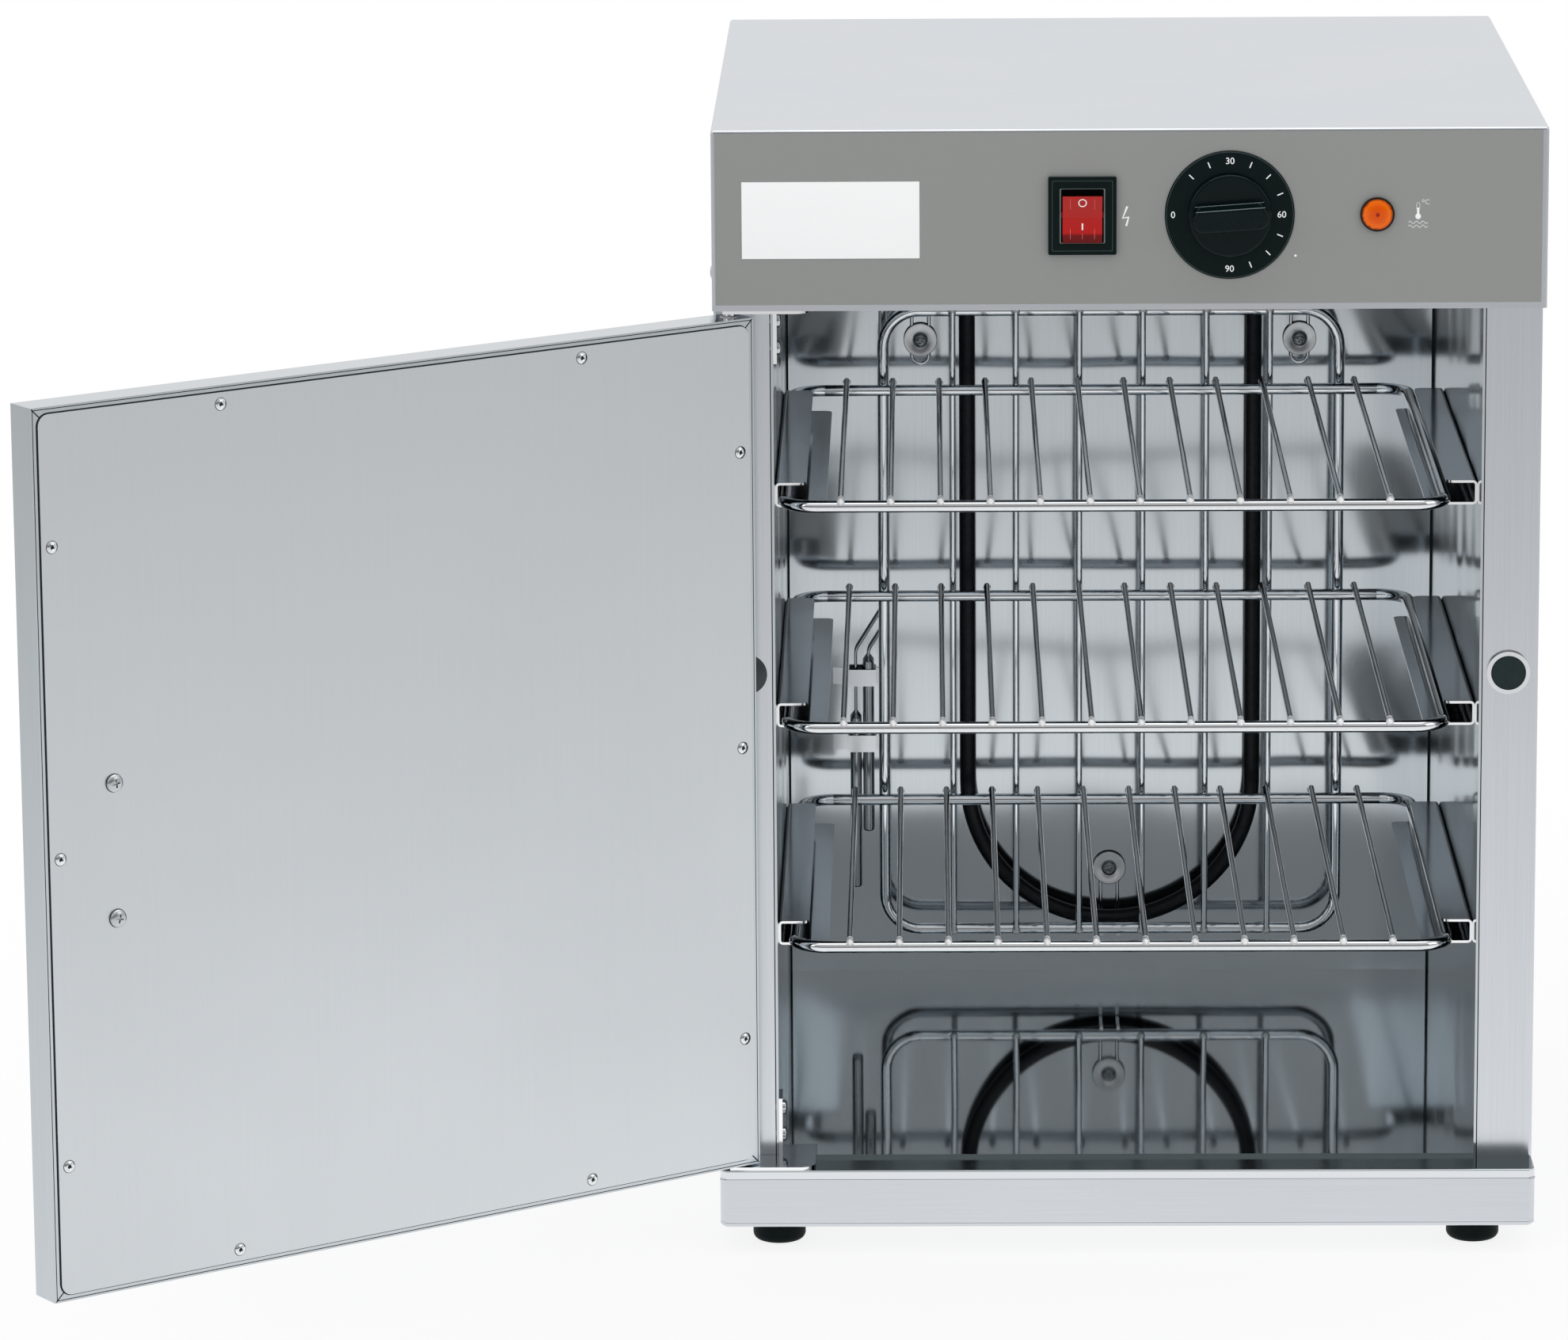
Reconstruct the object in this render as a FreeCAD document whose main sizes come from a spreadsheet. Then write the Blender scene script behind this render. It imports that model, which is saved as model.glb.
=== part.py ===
"""Plate warmer cabinet: an insulated steel cabinet with a hinged door, wire shelves and a heater.

The origin is on the worktop, under the middle of the casing. +X is to the right, +Y to the back
and +Z up. Sizes are in millimetres and are kept in the sheet named Sizes. The door is drawn
closed and turned about its pivots to its rest place.
"""
import FreeCAD, Part
import math
import os
import Sketcher

VECTOR = FreeCAD.Vector

SIZES = (
    # casing
    ("cabinet_depth", 400.0),
    ("base_height", 29.5),
    ("door_zone", 428.0),
    ("header_height", 87.5),
    ("skin_gauge", 1.2),
    ("corner_bend", 4.0),
    ("base_bend", 3.4),
    ("header_bend", 1.4),
    ("skin_bend", 1.6),
    ("lip_height", 4.6),
    ("lip_edge", 0.9),
    ("column_width", 28.7),
    ("column_setback", 23.5),
    ("column_seam", 0.5),
    ("rear_flange", 16.0),
    # clearances and the overrun of every cut
    ("seat_gap", 0.3),
    ("running_gap", 0.05),
    ("pressed_gap", 0.02),
    ("hole_gap", 0.2),
    ("overrun", 3.0),
    # feet
    ("foot_height", 13.0),
    ("foot_radius", 13.0),
    ("foot_edge", 3.5),
    ("foot_inset", 28.5),
    ("foot_recess_radius", 5.5),
    ("foot_recess_depth", 6.0),
    # pan-head screws of the casing and the feet
    ("screw_radius", 1.9),
    ("screw_length", 8.0),
    ("screw_head_radius", 3.6),
    ("screw_head_height", 2.4),
    ("screw_head_rim", 1.0),
    ("back_screw_rise", 30.0),
    ("header_screw_setback", 60.0),
    # cavity lining and insulation
    ("cavity_back_space", 16.0),
    ("floor_gauge", 1.5),
    ("ceiling_flange", 16.0),
    ("ceiling_setback", 4.0),
    ("fold_bend", 2.2),
    ("lining_space", 6.0),
    ("insulation_front", 24.0),
    ("insulation_rear", 13.0),
    # runners
    ("runner_height", 12.0),
    ("runner_top_width", 15.3),
    ("runner_bottom_width", 25.0),
    ("runner_front", 50.0),
    ("runner_rear", 302.0),
    ("runner_corner", 4.0),
    ("rivet_radius", 1.6),
    ("rivet_tail_radius", 2.8),
    ("rivet_tail_height", 1.4),
    ("rivet_inset", 30.0),
    # wire shelves; the casing is as wide as a shelf, its side spaces and the columns
    ("shelf_width", 327.5),
    ("shelf_side_space", 7.55),
    ("shelf_depth", 320.0),
    ("shelf_front", 25.0),
    ("shelf_corner", 16.0),
    ("shelf_wire_radius", 3.0),
    ("cross_wire_radius", 1.5),
    ("cross_wire_margin", 30.5),
    ("cross_wire_overhang", 7.0),
    ("weld_sink", 0.5),
    ("upper_shelf_height", 369.4),
    ("middle_shelf_height", 259.1),
    ("lower_shelf_height", 148.7),
    ("upper_shelf_shift", 5.8),
    ("middle_shelf_shift", 5.0),
    ("lower_shelf_shift", 2.5),
    # wire guard and its fixings
    ("guard_side_space", 51.3),
    ("guard_bottom", 73.7),
    ("guard_top", 408.7),
    ("guard_standoff", 25.0),
    ("guard_corner", 19.0),
    ("guard_wire_radius", 3.0),
    ("guard_bar_radius", 1.65),
    ("guard_bar_margin", 36.5),
    ("loop_wire_radius", 1.0),
    ("loop_spread", 9.0),
    ("loop_bend", 3.0),
    ("loop_inset", 19.7),
    ("upper_loop_height", 389.3),
    ("lower_loop_height", 101.2),
    ("washer_radius", 8.9),
    ("washer_gauge", 1.0),
    ("guard_screw_length", 6.5),
    ("guard_screw_head_radius", 3.75),
    # heating element
    ("heater_radius", 4.25),
    ("heater_inset", 44.3),
    ("heater_setback", 12.0),
    ("heater_low", 76.3),
    ("heater_pin_radius", 1.8),
    ("heater_pin_length", 12.0),
    ("heater_cold_length", 26.0),
    ("bushing_wall", 2.5),
    ("bushing_flange", 2.5),
    ("bushing_flange_height", 3.0),
    ("bushing_drop", 2.0),
    # sensors and the two thermostats
    ("bulb_radius", 3.0),
    ("bulb_length", 96.0),
    ("bulb_nose", 1.5),
    ("capillary_radius", 0.8),
    ("capillary_bend", 8.0),
    ("capillary_lead", 3.0),
    ("capillary_slope", 1.6),
    ("capillary_spacing", 3.2),
    ("sensor_inset", 35.8),
    ("sensor_spacing", 6.8),
    ("sensor_bottom", 91.5),
    ("limit_sensor_rise", 31.0),
    ("limit_run_height", 487.0),
    ("clip_gauge", 0.8),
    ("clip_width", 9.0),
    ("clip_foot", 8.0),
    ("clip_rise", 44.0),
    ("clip_spacing", 36.0),
    ("limit_body_width", 38.0),
    ("limit_body_depth", 40.0),
    ("limit_body_height", 26.0),
    ("limit_body_front", 120.0),
    ("thermostat_width", 44.0),
    ("thermostat_height", 36.0),
    ("thermostat_depth", 30.0),
    ("thermostat_corner", 4.0),
    ("thermostat_neck_radius", 5.0),
    ("capillary_exit_rise", 10.0),
    # controls
    ("control_height", 516.4),
    ("overlay_gauge", 0.5),
    ("overlay_left", 1.8),
    ("overlay_right", 2.9),
    ("overlay_lift", 3.0),
    ("overlay_drop", 0.1),
    ("dial_place", 47.9),
    ("dial_radius", 31.0),
    ("dial_gauge", 1.0),
    ("dial_edge", 0.5),
    ("knob_radius", 20.0),
    ("knob_skirt", 5.0),
    ("knob_height", 19.0),
    ("knob_lift", 0.6),
    ("knob_edge", 1.4),
    ("grip_length", 36.0),
    ("grip_width", 11.0),
    ("grip_end", 5.0),
    ("grip_edge", 1.2),
    ("grip_angle", 4.0),
    ("shaft_radius", 3.0),
    ("shaft_reach", 13.0),
    ("shaft_depth", 14.0),
    ("switch_place", 22.5),
    ("switch_width", 32.6),
    ("switch_height", 37.6),
    ("switch_corner", 0.8),
    ("switch_rim", 2.2),
    ("switch_opening_width", 21.3),
    ("switch_opening_height", 26.0),
    ("switch_wall", 2.5),
    ("switch_depth", 26.0),
    ("switch_recess", 9.0),
    ("rocker_width", 18.9),
    ("rocker_height", 23.6),
    ("rocker_end_rise", 7.5),
    ("rocker_middle_rise", 5.0),
    ("rocker_back", 4.0),
    ("rocker_back_height", 14.0),
    ("rocker_pivot_depth", 1.3),
    ("rocker_angle", 10.0),
    ("rocker_pin_radius", 1.5),
    ("rocker_pin_reach", 1.8),
    ("lamp_place", 118.3),
    ("lamp_bezel_radius", 8.2),
    ("lamp_bezel_height", 1.8),
    ("lamp_body_radius", 6.5),
    ("lamp_body_depth", 30.0),
    ("lamp_lens_radius", 7.4),
    ("lamp_lens_height", 2.6),
    ("lamp_lens_stem", 5.0),
    # terminal block and cable gland
    ("terminal_place", 95.0),
    ("terminal_length", 52.0),
    ("terminal_width", 22.0),
    ("terminal_height", 18.0),
    ("terminal_spacing", 16.0),
    ("terminal_bore", 3.0),
    ("terminal_rear", 70.0),
    ("gland_inset", 50.0),
    ("gland_bore", 4.1),
    ("gland_thread_radius", 8.0),
    ("gland_nut_radius", 11.5),
    ("gland_nut_height", 5.0),
    ("gland_cap_radius", 10.0),
    ("gland_cap_height", 18.0),
    ("gland_cap_taper", 3.0),
    ("gland_inside", 10.0),
    # hinge brackets and pins
    ("pivot_inset", 8.2),
    ("pivot_setback", 9.6),
    ("bracket_gauge", 1.5),
    ("bracket_left", 5.0),
    ("bracket_right", 47.0),
    ("bracket_front", 0.5),
    ("bracket_rear", 42.0),
    ("bracket_corner", 8.0),
    ("bracket_leg", 30.0),
    ("bracket_leg_gauge", 1.8),
    ("hinge_screw_low", 9.9),
    ("hinge_screw_high", 23.4),
    ("pin_radius", 3.0),
    ("pin_length", 11.0),
    # catch and plug
    ("catch_inset", 14.6),
    ("catch_height", 287.0),
    ("catch_radius", 10.5),
    ("catch_proud", 2.5),
    ("catch_wall", 2.0),
    ("catch_depth", 12.0),
    ("magnet_sink", 0.5),
    ("plug_radius", 10.0),
    ("plug_stem_radius", 7.0),
    ("plug_height", 2.2),
    ("plug_depth", 6.0),
    # door
    ("door_side_gap", 1.0),
    ("door_height", 421.6),
    ("door_bottom", 44.8),
    ("door_thickness", 20.0),
    ("door_gauge", 1.0),
    ("door_edge", 1.5),
    ("door_flange", 14.0),
    ("door_reveal", 3.3),
    ("door_panel_corner", 5.5),
    ("door_lagging_inset", 17.0),
    ("door_open_angle", 144.0),
    ("door_rivet_inset", 8.8),
    ("door_rivet_spacing", 146.0),
    ("door_rivet_head", 2.5),
    ("door_rivet_head_height", 0.8),
    ("door_rivet_bore", 0.8),
    ("door_rivet_length", 5.0),
    ("bush_radius", 4.6),
    ("bush_flange_radius", 6.0),
    ("bush_flange_gauge", 1.5),
    ("bush_length", 13.0),
    ("bush_proud", 0.4),
    ("handle_inset", 38.0),
    ("handle_spacing", 64.0),
    ("handle_reach", 35.0),
    ("handle_radius", 5.0),
    ("handle_bend", 12.0),
    ("handle_screw_length", 24.0),
    ("handle_screw_head", 4.2),
    # leads inside the header
    ("lead_radius", 1.1),
    ("lead_bend", 9.0),
    ("lead_height", 530.0),
)

COUNTS = {"cross_wires": 12, "guard_bars": 6, "terminal_ways": 3}

document = FreeCAD.newDocument("PlateWarmer")
sheet = document.addObject("Spreadsheet::Sheet", "Sizes")
for row, (alias, amount) in enumerate(SIZES, start=1):
    sheet.set("A%d" % row, alias)
    sheet.set("B%d" % row, repr(amount))
    sheet.setAlias("B%d" % row, alias)
document.recompute()


class Size:
    """A size with its present value and the sheet formula that gives it."""

    def __init__(self, value, formula):
        self.value = value
        self.formula = formula

    def _with(self, other, sign, value):
        text = other.formula if isinstance(other, Size) else repr(other)
        return Size(value, "(%s %s %s)" % (self.formula, sign, text))

    def __add__(self, other):
        return self._with(other, "+", self.value + float(other))

    def __sub__(self, other):
        return self._with(other, "-", self.value - float(other))

    def __mul__(self, other):
        return self._with(other, "*", self.value * float(other))

    def __truediv__(self, other):
        return self._with(other, "/", self.value / float(other))

    def __neg__(self):
        return Size(-self.value, "(0 - %s)" % self.formula)

    def __float__(self):
        return self.value


class Cells:
    """Gives each aliased cell of the sheet as a Size."""

    def __getattr__(self, alias):
        return Size(float(sheet.get(alias)), "Sizes." + alias)


cell = Cells()
ZERO = Size(0.0, "0")
BOTTOM, TOP = -1, 1
LEFT, RIGHT = -1, 1
NEAR_ENOUGH = 1e-4
cuts = []
pieces = []


class Circle:
    """A round outline in a sketch."""

    def __init__(self, x, y, radius):
        self.x, self.y, self.radius = x, y, radius


def bind(thing, **sizes):
    """Ties properties to sheet formulas; a double underscore stands for a dot."""
    for name, size in sizes.items():
        thing.setExpression(name.replace("__", "."), size.formula)


def pin_point(sketch, geometry, point, x, y):
    """Holds a sketch point at named distances from the sketch's origin."""
    for kind, size in (("DistanceX", x), ("DistanceY", y)):
        number = sketch.addConstraint(
            Sketcher.Constraint(kind, -1, 1, geometry, point, float(size)))
        sketch.setExpression("Constraints[%d]" % number, size.formula)


def set_radius(sketch, geometry, radius):
    number = sketch.addConstraint(Sketcher.Constraint("Radius", geometry, float(radius)))
    sketch.setExpression("Constraints[%d]" % number, radius.formula)


def arc_between(start, end, bend):
    """Arc of less than half a turn; a positive bend turns left."""
    half = (end - start) * 0.5
    radius = abs(bend)
    side = VECTOR(-half.y, half.x).normalize() * math.copysign(1, bend)
    centre = start + half + side * math.sqrt(max(radius ** 2 - half.Length ** 2, 0))
    first, last = (start, end) if bend > 0 else (end, start)
    angles = [math.atan2(p.y - centre.y, p.x - centre.x) for p in (first, last)]
    return Part.ArcOfCircle(Part.Circle(centre, VECTOR(0, 0, 1), radius), *angles)


def draw(sketch, outline, closed=True):
    """Draws a circle, or corners (x, y) joined by lines; a third entry bends the next run."""
    if isinstance(outline, Circle):
        middle = VECTOR(float(outline.x), float(outline.y))
        number = sketch.addGeometry(Part.Circle(middle, VECTOR(0, 0, 1), float(outline.radius)))
        set_radius(sketch, number, outline.radius)
        pin_point(sketch, number, 3, outline.x, outline.y)
        return
    count = len(outline)
    runs = []
    for index in range(count if closed else count - 1):
        here, there = outline[index], outline[(index + 1) % count]
        start = VECTOR(float(here[0]), float(here[1]))
        end = VECTOR(float(there[0]), float(there[1]))
        if len(here) == 2:
            runs.append((sketch.addGeometry(Part.LineSegment(start, end)), 1, 2))
            continue
        bend = here[2]
        number = sketch.addGeometry(arc_between(start, end, float(bend)))
        set_radius(sketch, number, bend if float(bend) > 0 else -bend)
        runs.append((number, 1, 2) if float(bend) > 0 else (number, 2, 1))
    for index, (number, start, end) in enumerate(runs):
        pin_point(sketch, number, start, *outline[index][:2])
        if closed or index < len(runs) - 1:
            following = runs[(index + 1) % len(runs)]
            sketch.addConstraint(
                Sketcher.Constraint("Coincident", number, end, following[0], following[1]))
        else:
            pin_point(sketch, number, end, *outline[-1][:2])


def rectangle(left, right, low, high):
    return [(left, low), (right, low), (right, high), (left, high)]


def rounded(left, right, low, high, bend):
    """A rectangle with four round corners."""
    return [(left + bend, low), (right - bend, low, bend), (right, low + bend),
            (right, high - bend, bend), (right - bend, high), (left + bend, high, bend),
            (left, high - bend), (left, low + bend, bend)]


def heading(start, end):
    """Unit steps from one corner of a right-angled path to the next."""
    across = float(end[0]) - float(start[0])
    along = float(end[1]) - float(start[1])
    if abs(across) > abs(along):
        return (int(math.copysign(1, across)), 0)
    return (0, int(math.copysign(1, along)))


def moved(point, way, distance):
    return (point[0] + distance * way[0], point[1] + distance * way[1])


def folded(path, gauge, side, bend):
    """Outline of sheet folded along a right-angled path, lying on its left (1) or right (-1)."""
    ways = [heading(a, b) for a, b in zip(path, path[1:])]
    sides = [(-way[1] * side, way[0] * side) for way in ways]
    outer = [path[0]]
    inner = [moved(path[0], sides[0], gauge)]
    for index in range(1, len(path) - 1):
        before, after = ways[index - 1], ways[index]
        turn = before[0] * after[1] - before[1] * after[0]
        tight = bend - gauge
        wide = bend
        near, far = (tight, wide) if turn == side else (wide, tight)
        outer_corner = path[index]
        inner_corner = moved(moved(path[index], sides[index - 1], gauge), sides[index], gauge)
        for line, corner, radius in ((outer, outer_corner, far), (inner, inner_corner, near)):
            line.append(moved(corner, before, -radius) + (radius * turn,))
            line.append(moved(corner, after, radius))
    outer.append(path[-1])
    inner.append(moved(path[-1], sides[-1], gauge))
    back = []
    for index in range(len(inner) - 1, -1, -1):
        point = inner[index][:2]
        if index > 0 and len(inner[index - 1]) == 3:
            point = point + (-inner[index - 1][2],)
        back.append(point)
    return outer + back


def new_body(label):
    body = document.addObject("PartDesign::Body", label)
    body.Label = label
    return body


def keep(thing, label=None):
    """Marks a finished piece for writing under its label."""
    if label:
        thing.Label = label
    pieces.append(thing)
    return thing


def origin_plane(body, role):
    return [feature for feature in body.Origin.OriginFeatures if feature.Role == role][0]


def sketch_on(body, role, place, outlines, closed=True):
    """A sketch on an origin plane moved to a place along the body's own axis."""
    sketch = body.newObject("Sketcher::SketchObject", body.Label + "_sketch")
    sketch.AttachmentSupport = [(origin_plane(body, role), "")]
    sketch.MapMode = "FlatFace"
    offset = -place if role == "XZ_Plane" else place
    sketch.AttachmentOffset.Base.z = float(offset)
    bind(sketch, AttachmentOffset__Base__z=offset)
    for outline in outlines:
        draw(sketch, outline, closed)
    return sketch


def add(body, role, start, end, *outlines):
    """Pads outlines between two places along the axis that the plane faces."""
    sketch = sketch_on(body, role, end if role == "XZ_Plane" else start, outlines)
    feature = body.newObject("PartDesign::Pad", body.Label + "_pad")
    feature.Profile = sketch
    bind(feature, Length=end - start)
    return feature


def cut(body, role, start, end, *outlines):
    """Pockets outlines between two places along the axis that the plane faces."""
    before = body.Tip
    sketch = sketch_on(body, role, start if role == "XZ_Plane" else end, outlines)
    feature = body.newObject("PartDesign::Pocket", body.Label + "_pocket")
    feature.Profile = sketch
    bind(feature, Length=end - start)
    cuts.append((before, feature))
    return feature


def turn(body, outline):
    """Revolves an outline of (radius, height) corners about the body's Z axis."""
    sketch = sketch_on(body, "XZ_Plane", ZERO, [outline])
    feature = body.newObject("PartDesign::Revolution", body.Label + "_turn")
    feature.Profile = sketch
    feature.ReferenceAxis = (sketch, ["V_Axis"])
    return feature


def sweep(body, path_role, path_place, path, closed, profile_role, profile_place, circle):
    """Sweeps a round wire along a flat path."""
    spine = sketch_on(body, path_role, path_place, [path], closed)
    profile = sketch_on(body, profile_role, profile_place, [circle])
    feature = body.newObject("PartDesign::AdditivePipe", body.Label + "_wire")
    feature.Profile = profile
    feature.Spine = (spine, ["Edge%d" % (number + 1) for number in range(spine.GeometryCount)])
    return feature


def repeat(body, feature, role, pitch, count):
    """Repeats a feature at a pitch along an origin axis."""
    pattern = body.newObject("PartDesign::LinearPattern", body.Label + "_row")
    pattern.Originals = [feature]
    pattern.Direction = (origin_plane(body, role), [""])
    pattern.Mode = "Spacing"
    pattern.Occurrences = count
    bind(pattern, Offset=pitch)
    body.Tip = pattern
    return pattern


def edge_names(feature, test):
    """Names of a feature's edges whose box passes a test."""
    document.recompute()
    return ["Edge%d" % (number + 1) for number, edge in enumerate(feature.Shape.Edges)
            if test(edge.BoundBox)]


def fillet(body, radius, test):
    """Rounds the edges of the body's tip whose box passes a test."""
    base = body.Tip
    names = edge_names(base, test)
    feature = body.newObject("PartDesign::Fillet", body.Label + "_fillet")
    feature.Base = (base, names)
    bind(feature, Radius=radius)
    return feature


def shell(body, gauge, test):
    """Hollows the body's tip through the faces whose box passes a test."""
    base = body.Tip
    document.recompute()
    names = ["Face%d" % (number + 1) for number, face in enumerate(base.Shape.Faces)
             if test(face.BoundBox)]
    feature = body.newObject("PartDesign::Thickness", body.Label + "_shell")
    feature.Base = (base, names)
    feature.Reversed = True
    bind(feature, Value=gauge)
    return feature


def level(place):
    """A test for a box that lies flat at a height."""
    height = float(place)
    return lambda box: max(abs(box.ZMin - height), abs(box.ZMax - height)) < NEAR_ENOUGH


def upright(box):
    """A test for a straight upright edge."""
    return max(box.XLength, box.YLength) < NEAR_ENOUGH


DIRECTIONS = {
    "up": FreeCAD.Rotation(),
    "down": FreeCAD.Rotation(VECTOR(1, 0, 0), 180),
    "front": FreeCAD.Rotation(VECTOR(1, 0, 0), 90),
    "back": FreeCAD.Rotation(VECTOR(1, 0, 0), -90),
    "right": FreeCAD.Rotation(VECTOR(0, 1, 0), 90),
    "left": FreeCAD.Rotation(VECTOR(0, 1, 0), -90),
}


def stand(thing, x, y, z, direction="up", twist=0.0):
    """Places a thing with its own Z axis along a direction."""
    rotation = DIRECTIONS[direction] * FreeCAD.Rotation(VECTOR(0, 0, 1), twist)
    thing.Placement = FreeCAD.Placement(VECTOR(float(x), float(y), float(z)), rotation)
    bind(thing, Placement__Base__x=x, Placement__Base__y=y, Placement__Base__z=z)
    return thing


def group(label, template, places):
    """One node of equal pieces, each a link to the same template."""
    links = []
    for place in places:
        link = document.addObject("App::Link", label + "_link")
        link.LinkedObject = template
        stand(link, *place)
        links.append(link)
    return gather(label, links)


def gather(label, parts):
    """One node that holds several separate solids."""
    compound = document.addObject("Part::Compound", label)
    compound.Links = parts
    return keep(compound, label)


def fused(label, parts):
    """One node whose welded parts make one solid."""
    union = document.addObject("Part::MultiFuse", label)
    union.Shapes = parts
    return keep(union, label)


def bent_tube(label, points, bend, radius):
    """A wire bent at each inner point of a path through space."""
    spots = [VECTOR(*[float(size) for size in point]) for point in points]
    edges = []
    start = spots[0]
    for before, corner, after in zip(spots, spots[1:], spots[2:]):
        incoming = (corner - before).normalize()
        outgoing = (after - corner).normalize()
        reach = float(bend) * math.tan(incoming.getAngle(outgoing) / 2)
        first = corner - incoming * reach
        last = corner + outgoing * reach
        inward = (outgoing - incoming).normalize()
        centre = corner + inward * math.hypot(float(bend), reach)
        if (first - start).Length > NEAR_ENOUGH:
            edges.append(Part.LineSegment(start, first).toShape())
        edges.append(Part.Arc(first, centre - inward * float(bend), last).toShape())
        start = last
    if (spots[-1] - start).Length > NEAR_ENOUGH:
        edges.append(Part.LineSegment(start, spots[-1]).toShape())
    ring = Part.Circle(spots[0], spots[1] - spots[0], float(radius)).toShape()
    tube = Part.Wire(edges).makePipeShell([Part.Wire(ring)], True, True)
    feature = document.addObject("Part::Feature", label)
    feature.Shape = tube
    return feature


def screw(label, length, head_radius, radius=cell.screw_radius):
    """A pan-head screw with its seat at the origin and its head up."""
    rim = cell.screw_head_rim
    dome = cell.screw_head_height - rim
    bend = (head_radius * head_radius + dome * dome) / dome / 2
    body = new_body(label)
    turn(body, [(ZERO, -length), (radius, -length), (radius, ZERO), (head_radius, ZERO),
                (head_radius, rim, bend), (ZERO, cell.screw_head_height)])
    return body


# Main planes and faces that the pieces share.
cavity_half = cell.shelf_width / 2 + cell.shelf_side_space
half = cavity_half + cell.column_width
front = -(cell.cabinet_depth / 2)
rear = cell.cabinet_depth / 2
gauge = cell.skin_gauge
base_bottom = cell.foot_height
base_top = base_bottom + cell.base_height
header_bottom = base_top + cell.door_zone
header_top = header_bottom + cell.header_height
column_front = front + cell.column_setback
cavity_rear = rear - cell.cavity_back_space
floor_top = base_top + cell.floor_gauge
panel_front = front - cell.overlay_gauge
ceiling_top = header_bottom + gauge
catch_place = half - cell.catch_inset
gland_place = half - cell.gland_inset
screw_hole = cell.screw_radius + cell.hole_gap
rivet_hole = cell.rivet_radius + cell.pressed_gap

casing_screw = screw("casing_screw", cell.screw_length, cell.screw_head_radius)
foot_places = [((half - cell.foot_inset) * x, (rear - cell.foot_inset) * y)
               for x in (LEFT, RIGHT) for y in (LEFT, RIGHT)]


def make_base():
    """The pan, its lid with a folded lip, and the four feet with their screws."""
    outline = rounded(-half, half, front, rear, cell.corner_bend)
    seam = base_top - cell.lip_height
    pan = new_body("base_pan")
    add(pan, "XY_Plane", base_bottom, seam, outline)
    fillet(pan, cell.base_bend, level(base_bottom))
    shell(pan, gauge, level(seam))
    holes = [Circle(x, y, screw_hole) for x, y in foot_places]
    cut(pan, "XY_Plane", base_bottom - cell.overrun, base_bottom + cell.overrun, *holes)
    keep(pan)

    lid = new_body("base_cover")
    add(lid, "XY_Plane", seam, base_top, outline)
    inside = rounded(-half + gauge, half - gauge, front + gauge, rear - gauge,
                     cell.corner_bend - gauge)
    cut(lid, "XY_Plane", seam - cell.overrun, base_top - gauge, inside)
    fillet(lid, cell.lip_edge, level(base_top))
    keep(lid)

    foot = new_body("foot")
    recess = cell.foot_recess_depth - cell.foot_height
    turn(foot, [(screw_hole, recess), (cell.foot_recess_radius, recess),
                (cell.foot_recess_radius, -cell.foot_height),
                (cell.foot_radius - cell.foot_edge, -cell.foot_height, cell.foot_edge),
                (cell.foot_radius, cell.foot_edge - cell.foot_height),
                (cell.foot_radius, ZERO), (screw_hole, ZERO)])
    group("feet", foot, [(x, y, base_bottom) for x, y in foot_places])
    group("foot_screws", casing_screw,
          [(x, y, cell.foot_recess_depth, "down") for x, y in foot_places])


def make_side_panel(label, side, hole_radius):
    """Outer skin of one side with its front and rear flanges."""
    panel = new_body(label)
    path = [((cavity_half + gauge + cell.column_seam) * side, column_front),
            (half * side, column_front),
            (half * side, rear - gauge), ((half - cell.rear_flange) * side, rear - gauge)]
    add(panel, "XY_Plane", base_top, header_bottom, folded(path, gauge, side, cell.skin_bend))
    cut(panel, "XZ_Plane", column_front - cell.overrun, column_front + cell.overrun,
        Circle(catch_place * side, cell.catch_height, hole_radius + cell.hole_gap))
    holes = [Circle(x, z, screw_hole) for x, z in back_screw_places if float(x) * side > 0]
    cut(panel, "XZ_Plane", rear - gauge - cell.overrun, rear, *holes)
    return keep(panel)


back_screw_levels = (base_top + cell.back_screw_rise,
                     base_top + cell.door_zone / 2,
                     header_bottom - cell.back_screw_rise)
back_screw_places = [((half - cell.rear_flange / 2) * side, z)
                     for side in (LEFT, RIGHT) for z in back_screw_levels]


def make_casing():
    """Side, back and header skins with their screws."""
    make_side_panel("left_side_panel", LEFT, cell.plug_stem_radius)
    make_side_panel("right_side_panel", RIGHT, cell.catch_radius - cell.catch_wall / 2)

    back = new_body("back_panel")
    holes = [Circle(x, z, screw_hole) for x, z in back_screw_places]
    add(back, "XZ_Plane", rear - gauge, rear,
        rectangle(-half, half, base_top, header_bottom), *holes)
    keep(back)
    group("back_panel_screws", casing_screw, [(x, rear, z, "back") for x, z in back_screw_places])

    header = new_body("header_shell")
    add(header, "XY_Plane", header_bottom, header_top,
        rounded(-half, half, front, rear, cell.skin_bend))
    fillet(header, cell.header_bend, level(header_top))
    shell(header, gauge, level(header_bottom))
    cut(header, "XZ_Plane", front - cell.overrun, front + cell.overrun, *control_holes())
    cut(header, "XZ_Plane", rear - cell.overrun, rear + cell.overrun,
        Circle(gland_place, cell.control_height, cell.gland_thread_radius + cell.pressed_gap))
    cut(header, "YZ_Plane", -half - cell.overrun, half + cell.overrun,
        *[Circle(y, header_screw_height, screw_hole) for y in header_screw_places])
    keep(header)
    group("header_screws", casing_screw,
          [(half * side, y, header_screw_height, direction)
           for side, direction in ((LEFT, "left"), (RIGHT, "right"))
           for y in header_screw_places])


header_screw_height = ceiling_top + cell.ceiling_flange / 2
header_screw_places = (front + cell.header_screw_setback, rear - cell.header_screw_setback)


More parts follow.
